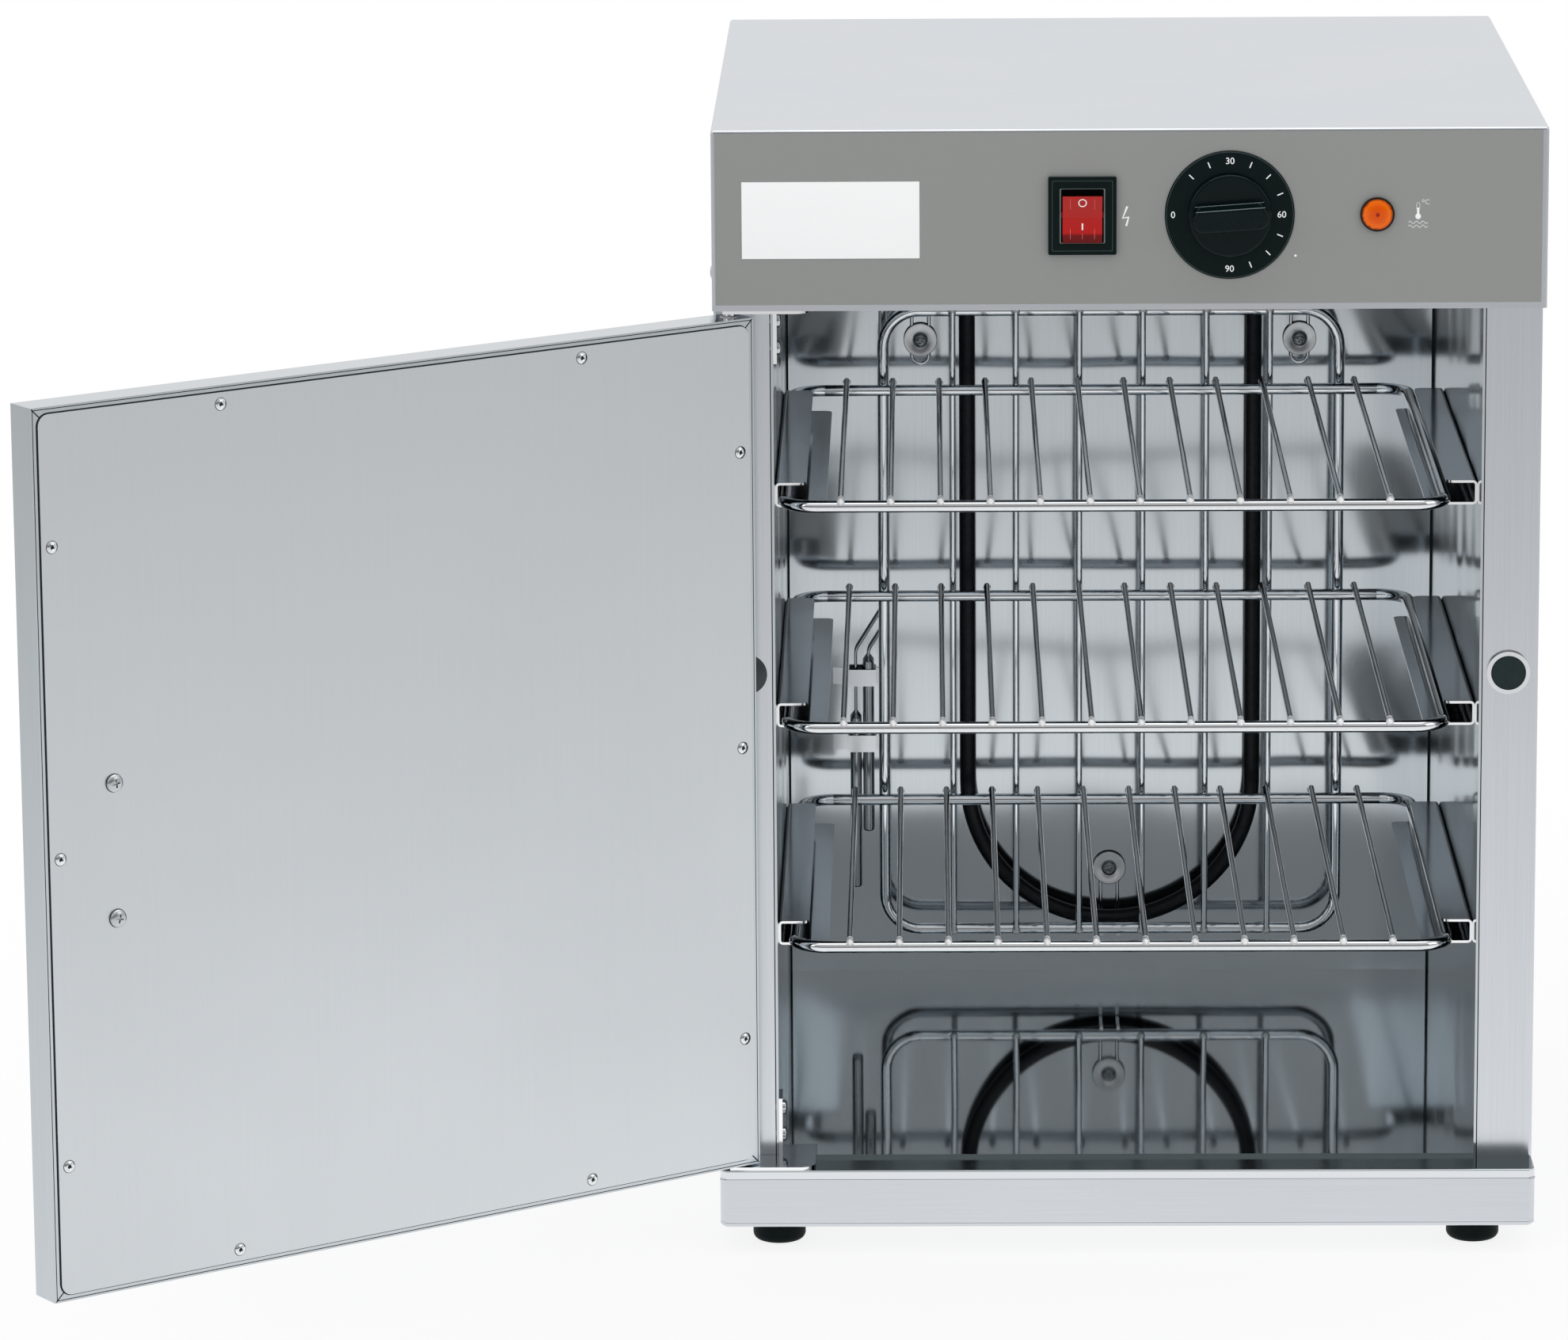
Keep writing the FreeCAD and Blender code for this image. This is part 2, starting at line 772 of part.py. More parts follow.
def switch_hole(grow):
    """The cut-out that the body of the switch passes through."""
    across = cell.switch_opening_width / 2 + cell.switch_wall + grow
    upward = cell.switch_opening_height / 2 + cell.switch_wall + grow
    return rectangle(-cell.switch_place - across, -cell.switch_place + across,
                     cell.control_height - upward, cell.control_height + upward)


def control_holes():
    """Cut-outs for the switch, the thermostat neck and the lamp."""
    return (switch_hole(cell.hole_gap),
            Circle(cell.dial_place, cell.control_height,
                   cell.thermostat_neck_radius + cell.hole_gap),
            Circle(cell.lamp_place, cell.control_height, cell.lamp_body_radius + cell.hole_gap))


guard_half = cavity_half - cell.guard_side_space
loop_place = guard_half - cell.loop_inset
guard_fixing_places = ((-loop_place, cell.upper_loop_height),
                       (loop_place, cell.upper_loop_height),
                       (ZERO, cell.lower_loop_height))
runner_levels = (("upper", cell.upper_shelf_height), ("middle", cell.middle_shelf_height),
                 ("lower", cell.lower_shelf_height))
runner_drop = cell.shelf_wire_radius + cell.seat_gap + gauge
runner_start = front + cell.runner_front
runner_end = front + cell.runner_rear
rivet_places = [(y, wire - runner_drop + cell.runner_height / 2)
                for _, wire in runner_levels
                for y in (runner_start + cell.rivet_inset, runner_end - cell.rivet_inset)]
bracket_leg_middle = column_front + (cell.bracket_rear - cell.column_setback) / 2
hinge_screw_places = [(bracket_leg_middle, edge - rise * side)
                      for side, edge in ((BOTTOM, base_top), (TOP, header_bottom))
                      for rise in (cell.hinge_screw_low, cell.hinge_screw_high)]
heater_line = cavity_rear - cell.heater_setback
heater_half = guard_half - cell.heater_inset
bulb_line = cavity_rear - cell.bulb_radius - cell.seat_gap
sensor_places = (cell.sensor_inset - cavity_half,
                 cell.sensor_inset + cell.sensor_spacing - cavity_half)
capillary_places = [cell.capillary_spacing / 2 * side - guard_half for side in (LEFT, RIGHT)]


def make_lining():
    """Polished walls, floor and ceiling of the cavity, and the slabs of insulation."""
    for label, side in (("cavity_left_wall", LEFT), ("cavity_right_wall", RIGHT)):
        wall = new_body(label)
        holes = [Circle(y, z, rivet_hole) for y, z in rivet_places]
        if side == LEFT:
            holes += [Circle(y, z, screw_hole) for y, z in hinge_screw_places]
            low, high = -cavity_half - gauge, -cavity_half
        else:
            low, high = cavity_half, cavity_half + gauge
        add(wall, "YZ_Plane", low, high,
            rectangle(column_front, cavity_rear + gauge, base_top, header_bottom), *holes)
        keep(wall)

    back = new_body("cavity_back_wall")
    add(back, "XZ_Plane", cavity_rear, cavity_rear + gauge,
        rectangle(-cavity_half, cavity_half, floor_top, header_bottom),
        *[Circle(x, z, screw_hole) for x, z in guard_fixing_places])
    keep(back)

    floor = new_body("cavity_floor")
    notch_right = -half + cell.bracket_right + cell.seat_gap
    notch_rear = front + cell.bracket_rear + cell.seat_gap
    add(floor, "XY_Plane", base_top, floor_top,
        [(notch_right, column_front), (cavity_half, column_front),
         (cavity_half, cavity_rear + gauge), (-cavity_half, cavity_rear + gauge),
         (-cavity_half, notch_rear), (notch_right, notch_rear)])
    keep(floor)

    ceiling = new_body("cavity_ceiling")
    inner = half - gauge
    path = [(-inner, ceiling_top + cell.ceiling_flange), (-inner, header_bottom),
            (inner, header_bottom), (inner, ceiling_top + cell.ceiling_flange)]
    add(ceiling, "XZ_Plane", front + cell.ceiling_setback, rear - cell.ceiling_setback,
        folded(path, gauge, 1, cell.fold_bend))
    cut(ceiling, "YZ_Plane", -half - cell.overrun, half + cell.overrun,
        *[Circle(y, header_screw_height, screw_hole) for y in header_screw_places])
    bushing = cell.heater_radius + cell.bushing_wall + cell.pressed_gap
    cut(ceiling, "XY_Plane", header_bottom - cell.overrun, ceiling_top + cell.overrun,
        *[Circle(heater_half * side, heater_line, bushing) for side in (LEFT, RIGHT)],
        *[Circle(x, bulb_line, cell.capillary_radius + cell.hole_gap)
          for x in capillary_places])
    keep(ceiling)

    slabs = []
    slab_rear = rear - cell.insulation_rear
    slab_inner = cavity_half + gauge + cell.lining_space
    for side in (LEFT, RIGHT):
        slab = new_body("side_slab")
        left, right = sorted((slab_inner * side, (half - gauge) * side), key=float)
        add(slab, "XY_Plane", base_top, header_bottom,
            rectangle(left, right, column_front + cell.insulation_front, slab_rear))
        slabs.append(slab)
    slab = new_body("back_slab")
    add(slab, "XY_Plane", base_top, header_bottom,
        rectangle(-cavity_half, cavity_half, cavity_rear + gauge + cell.lining_space,
                  rear - gauge))
    slabs.append(slab)
    gather("insulation", slabs)


def make_runner(label, side, wire):
    """A folded channel that carries one side of a shelf."""
    runner = new_body(label)
    low = wire - runner_drop
    high = low + cell.runner_height
    path = [((cavity_half - cell.runner_top_width) * side, high), (cavity_half * side, high),
            (cavity_half * side, low), ((cavity_half - cell.runner_bottom_width) * side, low)]
    add(runner, "XZ_Plane", runner_start, runner_end,
        folded(path, gauge, -side, cell.fold_bend))
    tips = cavity_half - cell.fold_bend - cell.runner_corner
    fillet(runner, cell.runner_corner,
           lambda box: upright(box) and abs(box.XMin) < float(tips))
    places = [(y, z) for y, z in rivet_places
              if float(low) < float(z) < float(high)]
    inner, outer = sorted((cavity_half - gauge - cell.overrun, cavity_half + cell.overrun),
                          key=float)
    low_x, high_x = (inner, outer) if side == RIGHT else (-outer, -inner)
    cut(runner, "YZ_Plane", low_x, high_x, *[Circle(y, z, rivet_hole) for y, z in places])
    keep(runner)


def make_runners():
    """The six channels and the flush rivets that hold them to the walls."""
    for name, wire in runner_levels:
        make_runner(name + "_left_runner", LEFT, wire)
        make_runner(name + "_right_runner", RIGHT, wire)
    rivet = new_body("wall_rivet")
    tail = -(gauge * 2)
    turn(rivet, [(ZERO, tail - cell.rivet_tail_height),
                 (cell.rivet_tail_radius, tail - cell.rivet_tail_height),
                 (cell.rivet_tail_radius, tail), (cell.rivet_radius, tail),
                 (cell.rivet_radius, ZERO), (ZERO, ZERO)])
    seat = cavity_half - gauge
    group("runner_rivets", rivet,
          [(-seat, y, z, "right") for y, z in rivet_places]
          + [(seat, y, z, "left") for y, z in rivet_places])


def make_shelf(label, height, shift):
    """A round-wire frame with a row of cross wires welded on top."""
    shelf = new_body(label)
    wire = cell.shelf_wire_radius
    reach = cell.shelf_width / 2 - wire
    left, right = -reach - shift, reach - shift
    near = front + cell.shelf_front + wire
    far = near + cell.shelf_depth - wire * 2
    sweep(shelf, "XY_Plane", height, rounded(left, right, near, far, cell.shelf_corner), True,
          "YZ_Plane", left + cell.shelf_corner, Circle(near, height, wire))
    span = cell.shelf_width - cell.cross_wire_margin * 2
    lift = height + wire + cell.cross_wire_radius - cell.weld_sink
    bar = add(shelf, "XZ_Plane", near, far + cell.cross_wire_overhang,
              Circle(-(span / 2) - shift, lift, cell.cross_wire_radius))
    repeat(shelf, bar, "X_Axis", span / (COUNTS["cross_wires"] - 1), COUNTS["cross_wires"])
    keep(shelf)


def make_guard():
    """The welded guard in front of the element, hung on three loops with screws."""
    guard = new_body("guard_frame")
    wire = cell.guard_wire_radius
    line = cavity_rear - cell.guard_standoff
    reach = guard_half
    sweep(guard, "XZ_Plane", line,
          rounded(-reach, reach, cell.guard_bottom, cell.guard_top, cell.guard_corner), True,
          "YZ_Plane", cell.guard_corner - reach, Circle(line, cell.guard_bottom, wire))
    bar_line = line - wire - cell.guard_bar_radius + cell.weld_sink
    span = (guard_half - cell.guard_bar_margin) * 2
    bar = add(guard, "XY_Plane", cell.guard_bottom, cell.guard_top,
              Circle(-(span / 2), bar_line, cell.guard_bar_radius))
    repeat(guard, bar, "X_Axis", span / (COUNTS["guard_bars"] - 1), COUNTS["guard_bars"])

    loops = []
    spread = cell.loop_spread / 2
    wall_line = cavity_rear - cell.loop_wire_radius
    under = cell.guard_bottom - wire - cell.loop_wire_radius + cell.weld_sink
    for (x, z), frame, way in zip(guard_fixing_places, (cell.guard_top, cell.guard_top, under),
                                  (BOTTOM, BOTTOM, TOP)):
        tip = z + spread * way
        loops.append(bent_tube("guard_loop", [
            (x - spread, line, frame), (x - spread, wall_line, frame),
            (x - spread, wall_line, tip), (x + spread, wall_line, tip),
            (x + spread, wall_line, frame), (x + spread, line, frame)],
            cell.loop_bend, cell.loop_wire_radius))
    fused("wire_guard", [guard] + loops)

    washer = new_body("washer")
    add(washer, "XY_Plane", -cell.washer_gauge, ZERO, Circle(ZERO, ZERO, cell.washer_radius),
        Circle(ZERO, ZERO, cell.screw_radius + cell.hole_gap))
    fixing = screw("guard_screw", cell.guard_screw_length, cell.guard_screw_head_radius)
    seat = cavity_rear - cell.loop_wire_radius * 2 - cell.running_gap - cell.washer_gauge
    links = []
    for template, name in ((washer, "guard_washer"), (fixing, "guard_screw")):
        for x, z in guard_fixing_places:
            link = document.addObject("App::Link", name)
            link.LinkedObject = template
            links.append(stand(link, x, seat, z, "front"))
    gather("guard_fixings", links)


def make_heater():
    """The U-shaped element, with its terminal pins, and the bushings in the ceiling."""
    heater = new_body("heating_element")
    top = ceiling_top + cell.heater_cold_length
    arc = cell.heater_low + heater_half
    path = [(-heater_half, top), (-heater_half, arc, heater_half),
            (ZERO, arc - heater_half, heater_half), (heater_half, arc), (heater_half, top)]
    sweep(heater, "XZ_Plane", heater_line, path, False,
          "XY_Plane", top, Circle(-heater_half, heater_line, cell.heater_radius))
    for side in (LEFT, RIGHT):
        add(heater, "XY_Plane", top - cell.weld_sink, top + cell.heater_pin_length,
            Circle(heater_half * side, heater_line, cell.heater_pin_radius))
    keep(heater)

    bushing = new_body("bushing")
    bore = cell.heater_radius + cell.running_gap
    outer = cell.heater_radius + cell.bushing_wall
    flange = outer + cell.bushing_flange
    low = -gauge - cell.bushing_drop
    turn(bushing, [(bore, low), (outer, low), (outer, ZERO), (flange, ZERO),
                   (flange, cell.bushing_flange_height), (bore, cell.bushing_flange_height)])
    group("heater_bushings", bushing,
          [(heater_half * side, heater_line, ceiling_top) for side in (LEFT, RIGHT)])


thermostat_front = front + gauge
thermostat_rear = thermostat_front + cell.thermostat_depth
limit_front = front + cell.limit_body_front
limit_rear = limit_front + cell.limit_body_depth


def make_bulb(label, x, bottom, away, path):
    """A sensor bulb on the back wall; its capillary slants away behind the guard's wire."""
    bulb = new_body(label + "_bulb")
    radius = cell.bulb_radius
    nose = cell.bulb_nose
    turn(bulb, [(ZERO, ZERO), (radius - nose, ZERO, nose), (radius, nose),
                (radius, cell.bulb_length - radius), (cell.capillary_radius, cell.bulb_length),
                (ZERO, cell.bulb_length)])
    stand(bulb, x, bulb_line, bottom)
    start = bottom + cell.bulb_length - cell.weld_sink
    low = cell.sensor_bottom + cell.limit_sensor_rise + cell.bulb_length + cell.capillary_lead
    high = low + (away - x) * cell.capillary_slope
    points = [(x, bulb_line, start), (x, bulb_line, low), (away, bulb_line, high)] + path
    tube = bent_tube(label + "_capillary", points, cell.capillary_bend, cell.capillary_radius)
    fused(label, [bulb, tube])


def make_sensors():
    """Both sensor bulbs, their clips and the two thermostats."""
    left, right = sensor_places
    left_way, right_way = capillary_places
    run = cell.control_height - cell.capillary_exit_rise
    corner = thermostat_rear + cell.terminal_length
    make_bulb("thermostat_sensor", left, cell.sensor_bottom, left_way,
              [(left_way, bulb_line, run), (left_way, corner, run),
               (cell.dial_place, corner, run), (cell.dial_place, thermostat_rear, run)])
    make_bulb("limit_sensor", right, cell.sensor_bottom + cell.limit_sensor_rise, right_way,
              [(right_way, bulb_line, cell.limit_run_height),
               (right_way, limit_rear, cell.limit_run_height)])

    clip = new_body("sensor_clip")
    near = bulb_line - cell.bulb_radius - cell.running_gap - cell.clip_gauge
    side_gap = cell.bulb_radius + cell.seat_gap + cell.clip_gauge
    low, high = left - side_gap, right + side_gap
    path = [(low - cell.clip_foot, cavity_rear), (low, cavity_rear), (low, near), (high, near),
            (high, cavity_rear), (high + cell.clip_foot, cavity_rear)]
    add(clip, "XY_Plane", ZERO, cell.clip_width, hat_outline(path, cell.clip_gauge))
    first = cell.sensor_bottom + cell.limit_sensor_rise + cell.clip_rise
    group("sensor_clips", clip, [(ZERO, ZERO, first), (ZERO, ZERO, first + cell.clip_spacing)])

    limit = new_body("limit_thermostat")
    reach = cell.limit_body_width / 2
    add(limit, "XY_Plane", ceiling_top, ceiling_top + cell.limit_body_height,
        rounded(right - reach, right + reach, limit_front, limit_rear, cell.thermostat_corner))
    keep(limit)

    body = new_body("thermostat_body")
    reach = cell.thermostat_width / 2
    rise = cell.thermostat_height / 2
    place, height = cell.dial_place, cell.control_height
    add(body, "XZ_Plane", thermostat_front, thermostat_rear,
        rounded(place - reach, place + reach, height - rise, height + rise,
                cell.thermostat_corner))
    neck = Circle(place, height, cell.thermostat_neck_radius)
    add(body, "XZ_Plane", panel_front - cell.dial_gauge, thermostat_front + cell.overrun, neck)
    bore = Circle(place, height, cell.shaft_radius + cell.running_gap)
    cut(body, "XZ_Plane", panel_front - cell.dial_gauge - cell.overrun,
        panel_front + cell.shaft_depth + cell.seat_gap, bore)
    keep(body)


def hat_outline(path, gap):
    """Outline of a strap folded over the bulbs, one strap thickness outside its path."""
    low_foot, low, low_top, high_top, high, high_foot = path
    return [low_foot, (low[0] + gap, low[1]), (low_top[0] + gap, low_top[1] + gap),
            (high_top[0] - gap, high_top[1] + gap), (high[0] - gap, high[1]), high_foot,
            (high_foot[0], high_foot[1] - gap), (high[0], high[1] - gap), high_top, low_top,
            (low[0], low[1] - gap), (low_foot[0], low_foot[1] - gap)]


def make_controls():
    """Overlay, dial, knob, rocker switch and pilot lamp."""
    height = cell.control_height
    overlay = new_body("control_panel")
    add(overlay, "XZ_Plane", panel_front, front,
        rectangle(-half + cell.overlay_left, half - cell.overlay_right,
                  header_bottom + cell.overlay_lift, header_top - cell.overlay_drop
                  - cell.header_bend), *control_holes())
    keep(overlay)

    dial = new_body("dial_ring")
    neck = cell.thermostat_neck_radius + cell.hole_gap
    edge = cell.dial_edge
    turn(dial, [(neck, ZERO), (cell.dial_radius, ZERO), (cell.dial_radius, edge),
                (cell.dial_radius - edge, cell.dial_gauge), (neck, cell.dial_gauge)])
    keep(stand(dial, cell.dial_place, panel_front, height, "front"))

    knob = new_body("thermostat_knob")
    low = cell.dial_gauge + cell.knob_lift
    radius, cap, edge = cell.knob_radius, cell.knob_skirt, cell.knob_edge
    turn(knob, [(ZERO, low), (radius, low), (radius, cap - edge, edge), (radius - edge, cap),
                (ZERO, cap)])
    reach, wide, end = cell.grip_length / 2, cell.grip_width / 2, cell.grip_end
    add(knob, "XY_Plane", low, cell.knob_height, rounded(-reach, reach, -wide, wide, end))
    fillet(knob, cell.grip_edge, level(cell.knob_height))
    socket = Circle(ZERO, ZERO, cell.shaft_radius + cell.pressed_gap)
    cut(knob, "XY_Plane", ZERO, cell.shaft_reach + cell.pressed_gap, socket)
    keep(stand(knob, cell.dial_place, panel_front, height, "front", float(cell.grip_angle)))

    shaft = new_body("thermostat_shaft")
    add(shaft, "XY_Plane", -cell.shaft_depth, cell.shaft_reach,
        Circle(ZERO, ZERO, cell.shaft_radius))
    keep(stand(shaft, cell.dial_place, panel_front, height, "front"))

    lamp = new_body("lamp_bezel")
    inner = cell.lamp_lens_radius + cell.pressed_gap
    seat = cell.lamp_bezel_height - cell.lamp_lens_stem
    turn(lamp, [(ZERO, -cell.lamp_body_depth), (cell.lamp_body_radius, -cell.lamp_body_depth),
                (cell.lamp_body_radius, ZERO), (cell.lamp_bezel_radius, ZERO),
                (cell.lamp_bezel_radius, cell.lamp_bezel_height),
                (inner, cell.lamp_bezel_height), (inner, cell.hole_gap),
                (lens_stem + cell.pressed_gap, cell.hole_gap),
                (lens_stem + cell.pressed_gap, seat), (ZERO, seat)])
    keep(stand(lamp, cell.lamp_place, panel_front, height, "front"))
    lens = new_body("lamp_lens")
    dome = cell.lamp_lens_height - cell.lamp_bezel_height
    bend = (cell.lamp_lens_radius * cell.lamp_lens_radius + dome * dome) / dome / 2
    turn(lens, [(ZERO, seat), (lens_stem, seat), (lens_stem, cell.hole_gap),
                (cell.lamp_lens_radius, cell.hole_gap),
                (cell.lamp_lens_radius, cell.lamp_bezel_height, bend),
                (ZERO, cell.lamp_lens_height)])
    keep(stand(lens, cell.lamp_place, panel_front, height, "front"))


lens_stem = cell.lamp_body_radius - cell.lamp_bezel_height / 2
pivot_line = front + cell.rocker_pivot_depth


def make_switch():
    """Rocker switch: frame on the panel, body behind it and the rocker on two pins."""
    height = cell.control_height
    place = -cell.switch_place

    def box_outline(across, upward, bend=None):
        left, right = place - across / 2, place + across / 2
        low, high = height - upward / 2, height + upward / 2
        return rounded(left, right, low, high, bend) if bend else rectangle(left, right, low, high)

    opening = box_outline(cell.switch_opening_width, cell.switch_opening_height)
    frame = new_body("switch_frame")
    add(frame, "XZ_Plane", panel_front - cell.switch_rim, panel_front,
        box_outline(cell.switch_width, cell.switch_height, cell.switch_corner), opening)
    keep(frame)

    body = new_body("switch_body")
    add(body, "XZ_Plane", panel_front, panel_front + cell.switch_depth, switch_hole(ZERO))
    cut(body, "XZ_Plane", panel_front - cell.overrun, panel_front + cell.switch_recess, opening)
    pin_reach = cell.switch_opening_width / 2 + cell.rocker_pin_reach
    cut(body, "YZ_Plane", place - pin_reach - cell.seat_gap, place + pin_reach + cell.seat_gap,
        Circle(pivot_line, height, cell.rocker_pin_radius + cell.running_gap))
    keep(body)

    rocker = new_body("rocker")
    upper, back = cell.rocker_height / 2, cell.rocker_back_height / 2
    across = cell.rocker_width / 2
    add(rocker, "YZ_Plane", -across, across,
        [(cell.rocker_back, -back), (cell.rocker_back, back), (-cell.rocker_end_rise, upper),
         (-cell.rocker_middle_rise, ZERO), (-cell.rocker_end_rise, -upper)])
    add(rocker, "YZ_Plane", -pin_reach, pin_reach, Circle(ZERO, ZERO, cell.rocker_pin_radius))
    rocker.Placement = FreeCAD.Placement(
        VECTOR(float(place), float(pivot_line), float(height)),
        FreeCAD.Rotation(VECTOR(1, 0, 0), float(cell.rocker_angle)))
    bind(rocker, Placement__Base__x=place, Placement__Base__y=pivot_line,
         Placement__Base__z=height)
    keep(rocker)


def make_connections():
    """Terminal block and cable gland of the header."""
    block = new_body("terminal_block")
    left = cell.terminal_place
    right = left + cell.terminal_length
    near = rear - cell.terminal_rear
    far = near + cell.terminal_width
    add(block, "XY_Plane", ceiling_top, ceiling_top + cell.terminal_height,
        rectangle(left, right, near, far))
    middle = (left + right) / 2 - cell.terminal_spacing * (COUNTS["terminal_ways"] - 1) / 2
    hole = cut(block, "XY_Plane", ceiling_top + cell.terminal_height / 2,
               ceiling_top + cell.terminal_height + cell.overrun,
               Circle(middle, (near + far) / 2, cell.terminal_bore))
    repeat(block, hole, "X_Axis", cell.terminal_spacing, COUNTS["terminal_ways"])
    keep(block)

    gland = new_body("cable_gland")
    bore, thread, nut = cell.gland_bore, cell.gland_thread_radius, cell.gland_nut_radius
    cap, tip = cell.gland_cap_radius, cell.gland_cap_height
    inner = -gauge - cell.gland_nut_height
    turn(gland, [(bore, -cell.gland_inside), (thread, -cell.gland_inside), (thread, inner),
                 (nut, inner), (nut, -gauge), (thread, -gauge), (thread, ZERO), (nut, ZERO),
                 (nut, cell.gland_nut_height), (cap, cell.gland_nut_height),
                 (cap, tip - cell.gland_cap_taper), (cap - cell.gland_cap_taper, tip),
                 (bore, tip)])
    keep(stand(gland, gland_place, rear, cell.control_height, "back"))


pivot_x = cell.pivot_inset - half
pivot_y = front + cell.pivot_setback


def make_bracket(label, side, edge):
    """A pivot bracket: a plate under or over the door, a leg on the wall, and its pin."""
    bracket = new_body(label)
    inward = -side
    plate = sorted((edge, edge + cell.bracket_gauge * inward), key=float)
    left, right = -half + cell.bracket_left, -half + cell.bracket_right
    near, far = front + cell.bracket_front, front + cell.bracket_rear
    waist = column_front - cell.seat_gap
    corner = cell.bracket_corner
    add(bracket, "XY_Plane", plate[0], plate[1],
        [(left, near), (right - corner, near, corner), (right, near + corner), (right, far),
         (-cavity_half, far), (-cavity_half, waist), (left, waist)])
    leg = sorted((edge, edge + cell.bracket_leg * inward), key=float)
    add(bracket, "XY_Plane", leg[0], leg[1],
        rectangle(-cavity_half, -cavity_half + cell.bracket_leg_gauge,
                  column_front + cell.seat_gap, far))
    pin = sorted((edge, edge + (cell.bracket_gauge + cell.pin_length) * inward), key=float)
    add(bracket, "XY_Plane", pin[0], pin[1], Circle(pivot_x, pivot_y, cell.pin_radius))
    holes = [Circle(y, z, screw_hole) for y, z in hinge_screw_places
             if float(leg[0]) < float(z) < float(leg[1])]
    cut(bracket, "YZ_Plane", -cavity_half - cell.overrun, -cavity_half + cell.overrun, *holes)
    keep(bracket)


def make_hinge():
    """Both brackets and their screws."""
    make_bracket("hinge_bracket_lower", BOTTOM, base_top)
    make_bracket("hinge_bracket_upper", TOP, header_bottom)
    seat = -cavity_half + cell.bracket_leg_gauge
    group("hinge_screws", casing_screw, [(seat, y, z, "right") for y, z in hinge_screw_places])


def make_catch():
    """Magnet catch of the right column and the plug of the left one."""
    housing = new_body("magnet_housing")
    outer, wall = cell.catch_radius, cell.catch_wall
    inner = outer - wall
    neck = outer - wall / 2
    floor = wall - cell.catch_depth
    turn(housing, [(ZERO, -cell.catch_depth), (neck, -cell.catch_depth), (neck, ZERO),
                   (outer, ZERO), (outer, cell.catch_proud), (inner, cell.catch_proud),
                   (inner, floor), (ZERO, floor)])
    keep(stand(housing, catch_place, column_front, cell.catch_height, "front"))
    magnet = new_body("magnet_disc")
    add(magnet, "XY_Plane", floor, cell.catch_proud - cell.magnet_sink,
        Circle(ZERO, ZERO, inner - cell.pressed_gap))
    keep(stand(magnet, catch_place, column_front, cell.catch_height, "front"))
    plug = new_body("column_plug")
    dome = cell.plug_height
    bend = (cell.plug_radius * cell.plug_radius + dome * dome) / dome / 2
    turn(plug, [(ZERO, -cell.plug_depth), (cell.plug_stem_radius, -cell.plug_depth),
                (cell.plug_stem_radius, ZERO), (cell.plug_radius, ZERO, bend), (ZERO, dome)])
    keep(stand(plug, -catch_place, column_front, cell.catch_height, "front"))


door_half = half - cell.door_side_gap
door_low = cell.door_bottom
door_high = door_low + cell.door_height
door_middle = door_low + cell.door_height / 2
door_back = front + cell.door_thickness
handle_x = door_half - cell.handle_inset
handle_levels = (door_middle - cell.handle_spacing / 2, door_middle + cell.handle_spacing / 2)
door_rivet_places = (
    [(door_half / 2 * side, z) for side in (LEFT, RIGHT)
     for z in (door_low + cell.door_rivet_inset, door_high - cell.door_rivet_inset)]
    + [((door_half - cell.door_rivet_inset) * side, door_middle + cell.door_rivet_spacing * step)
       for side in (LEFT, RIGHT) for step in (-1, 0, 1)])


def hang(piece):
    """Turns a door piece, drawn closed, about the pivots to its rest place."""
    turned = ("placement(vector(0; 0; 0); rotation(vector(0; 0; 1); -%s); vector(%s; %s; 0))"
              % (cell.door_open_angle.formula, pivot_x.formula, pivot_y.formula))
    piece.setExpression("Placement", turned)
    return piece


def door_outline(inset, bend=None):
    sides = (inset - door_half, door_half - inset, door_low + inset, door_high - inset)
    return rounded(*sides, bend) if bend else rectangle(*sides)


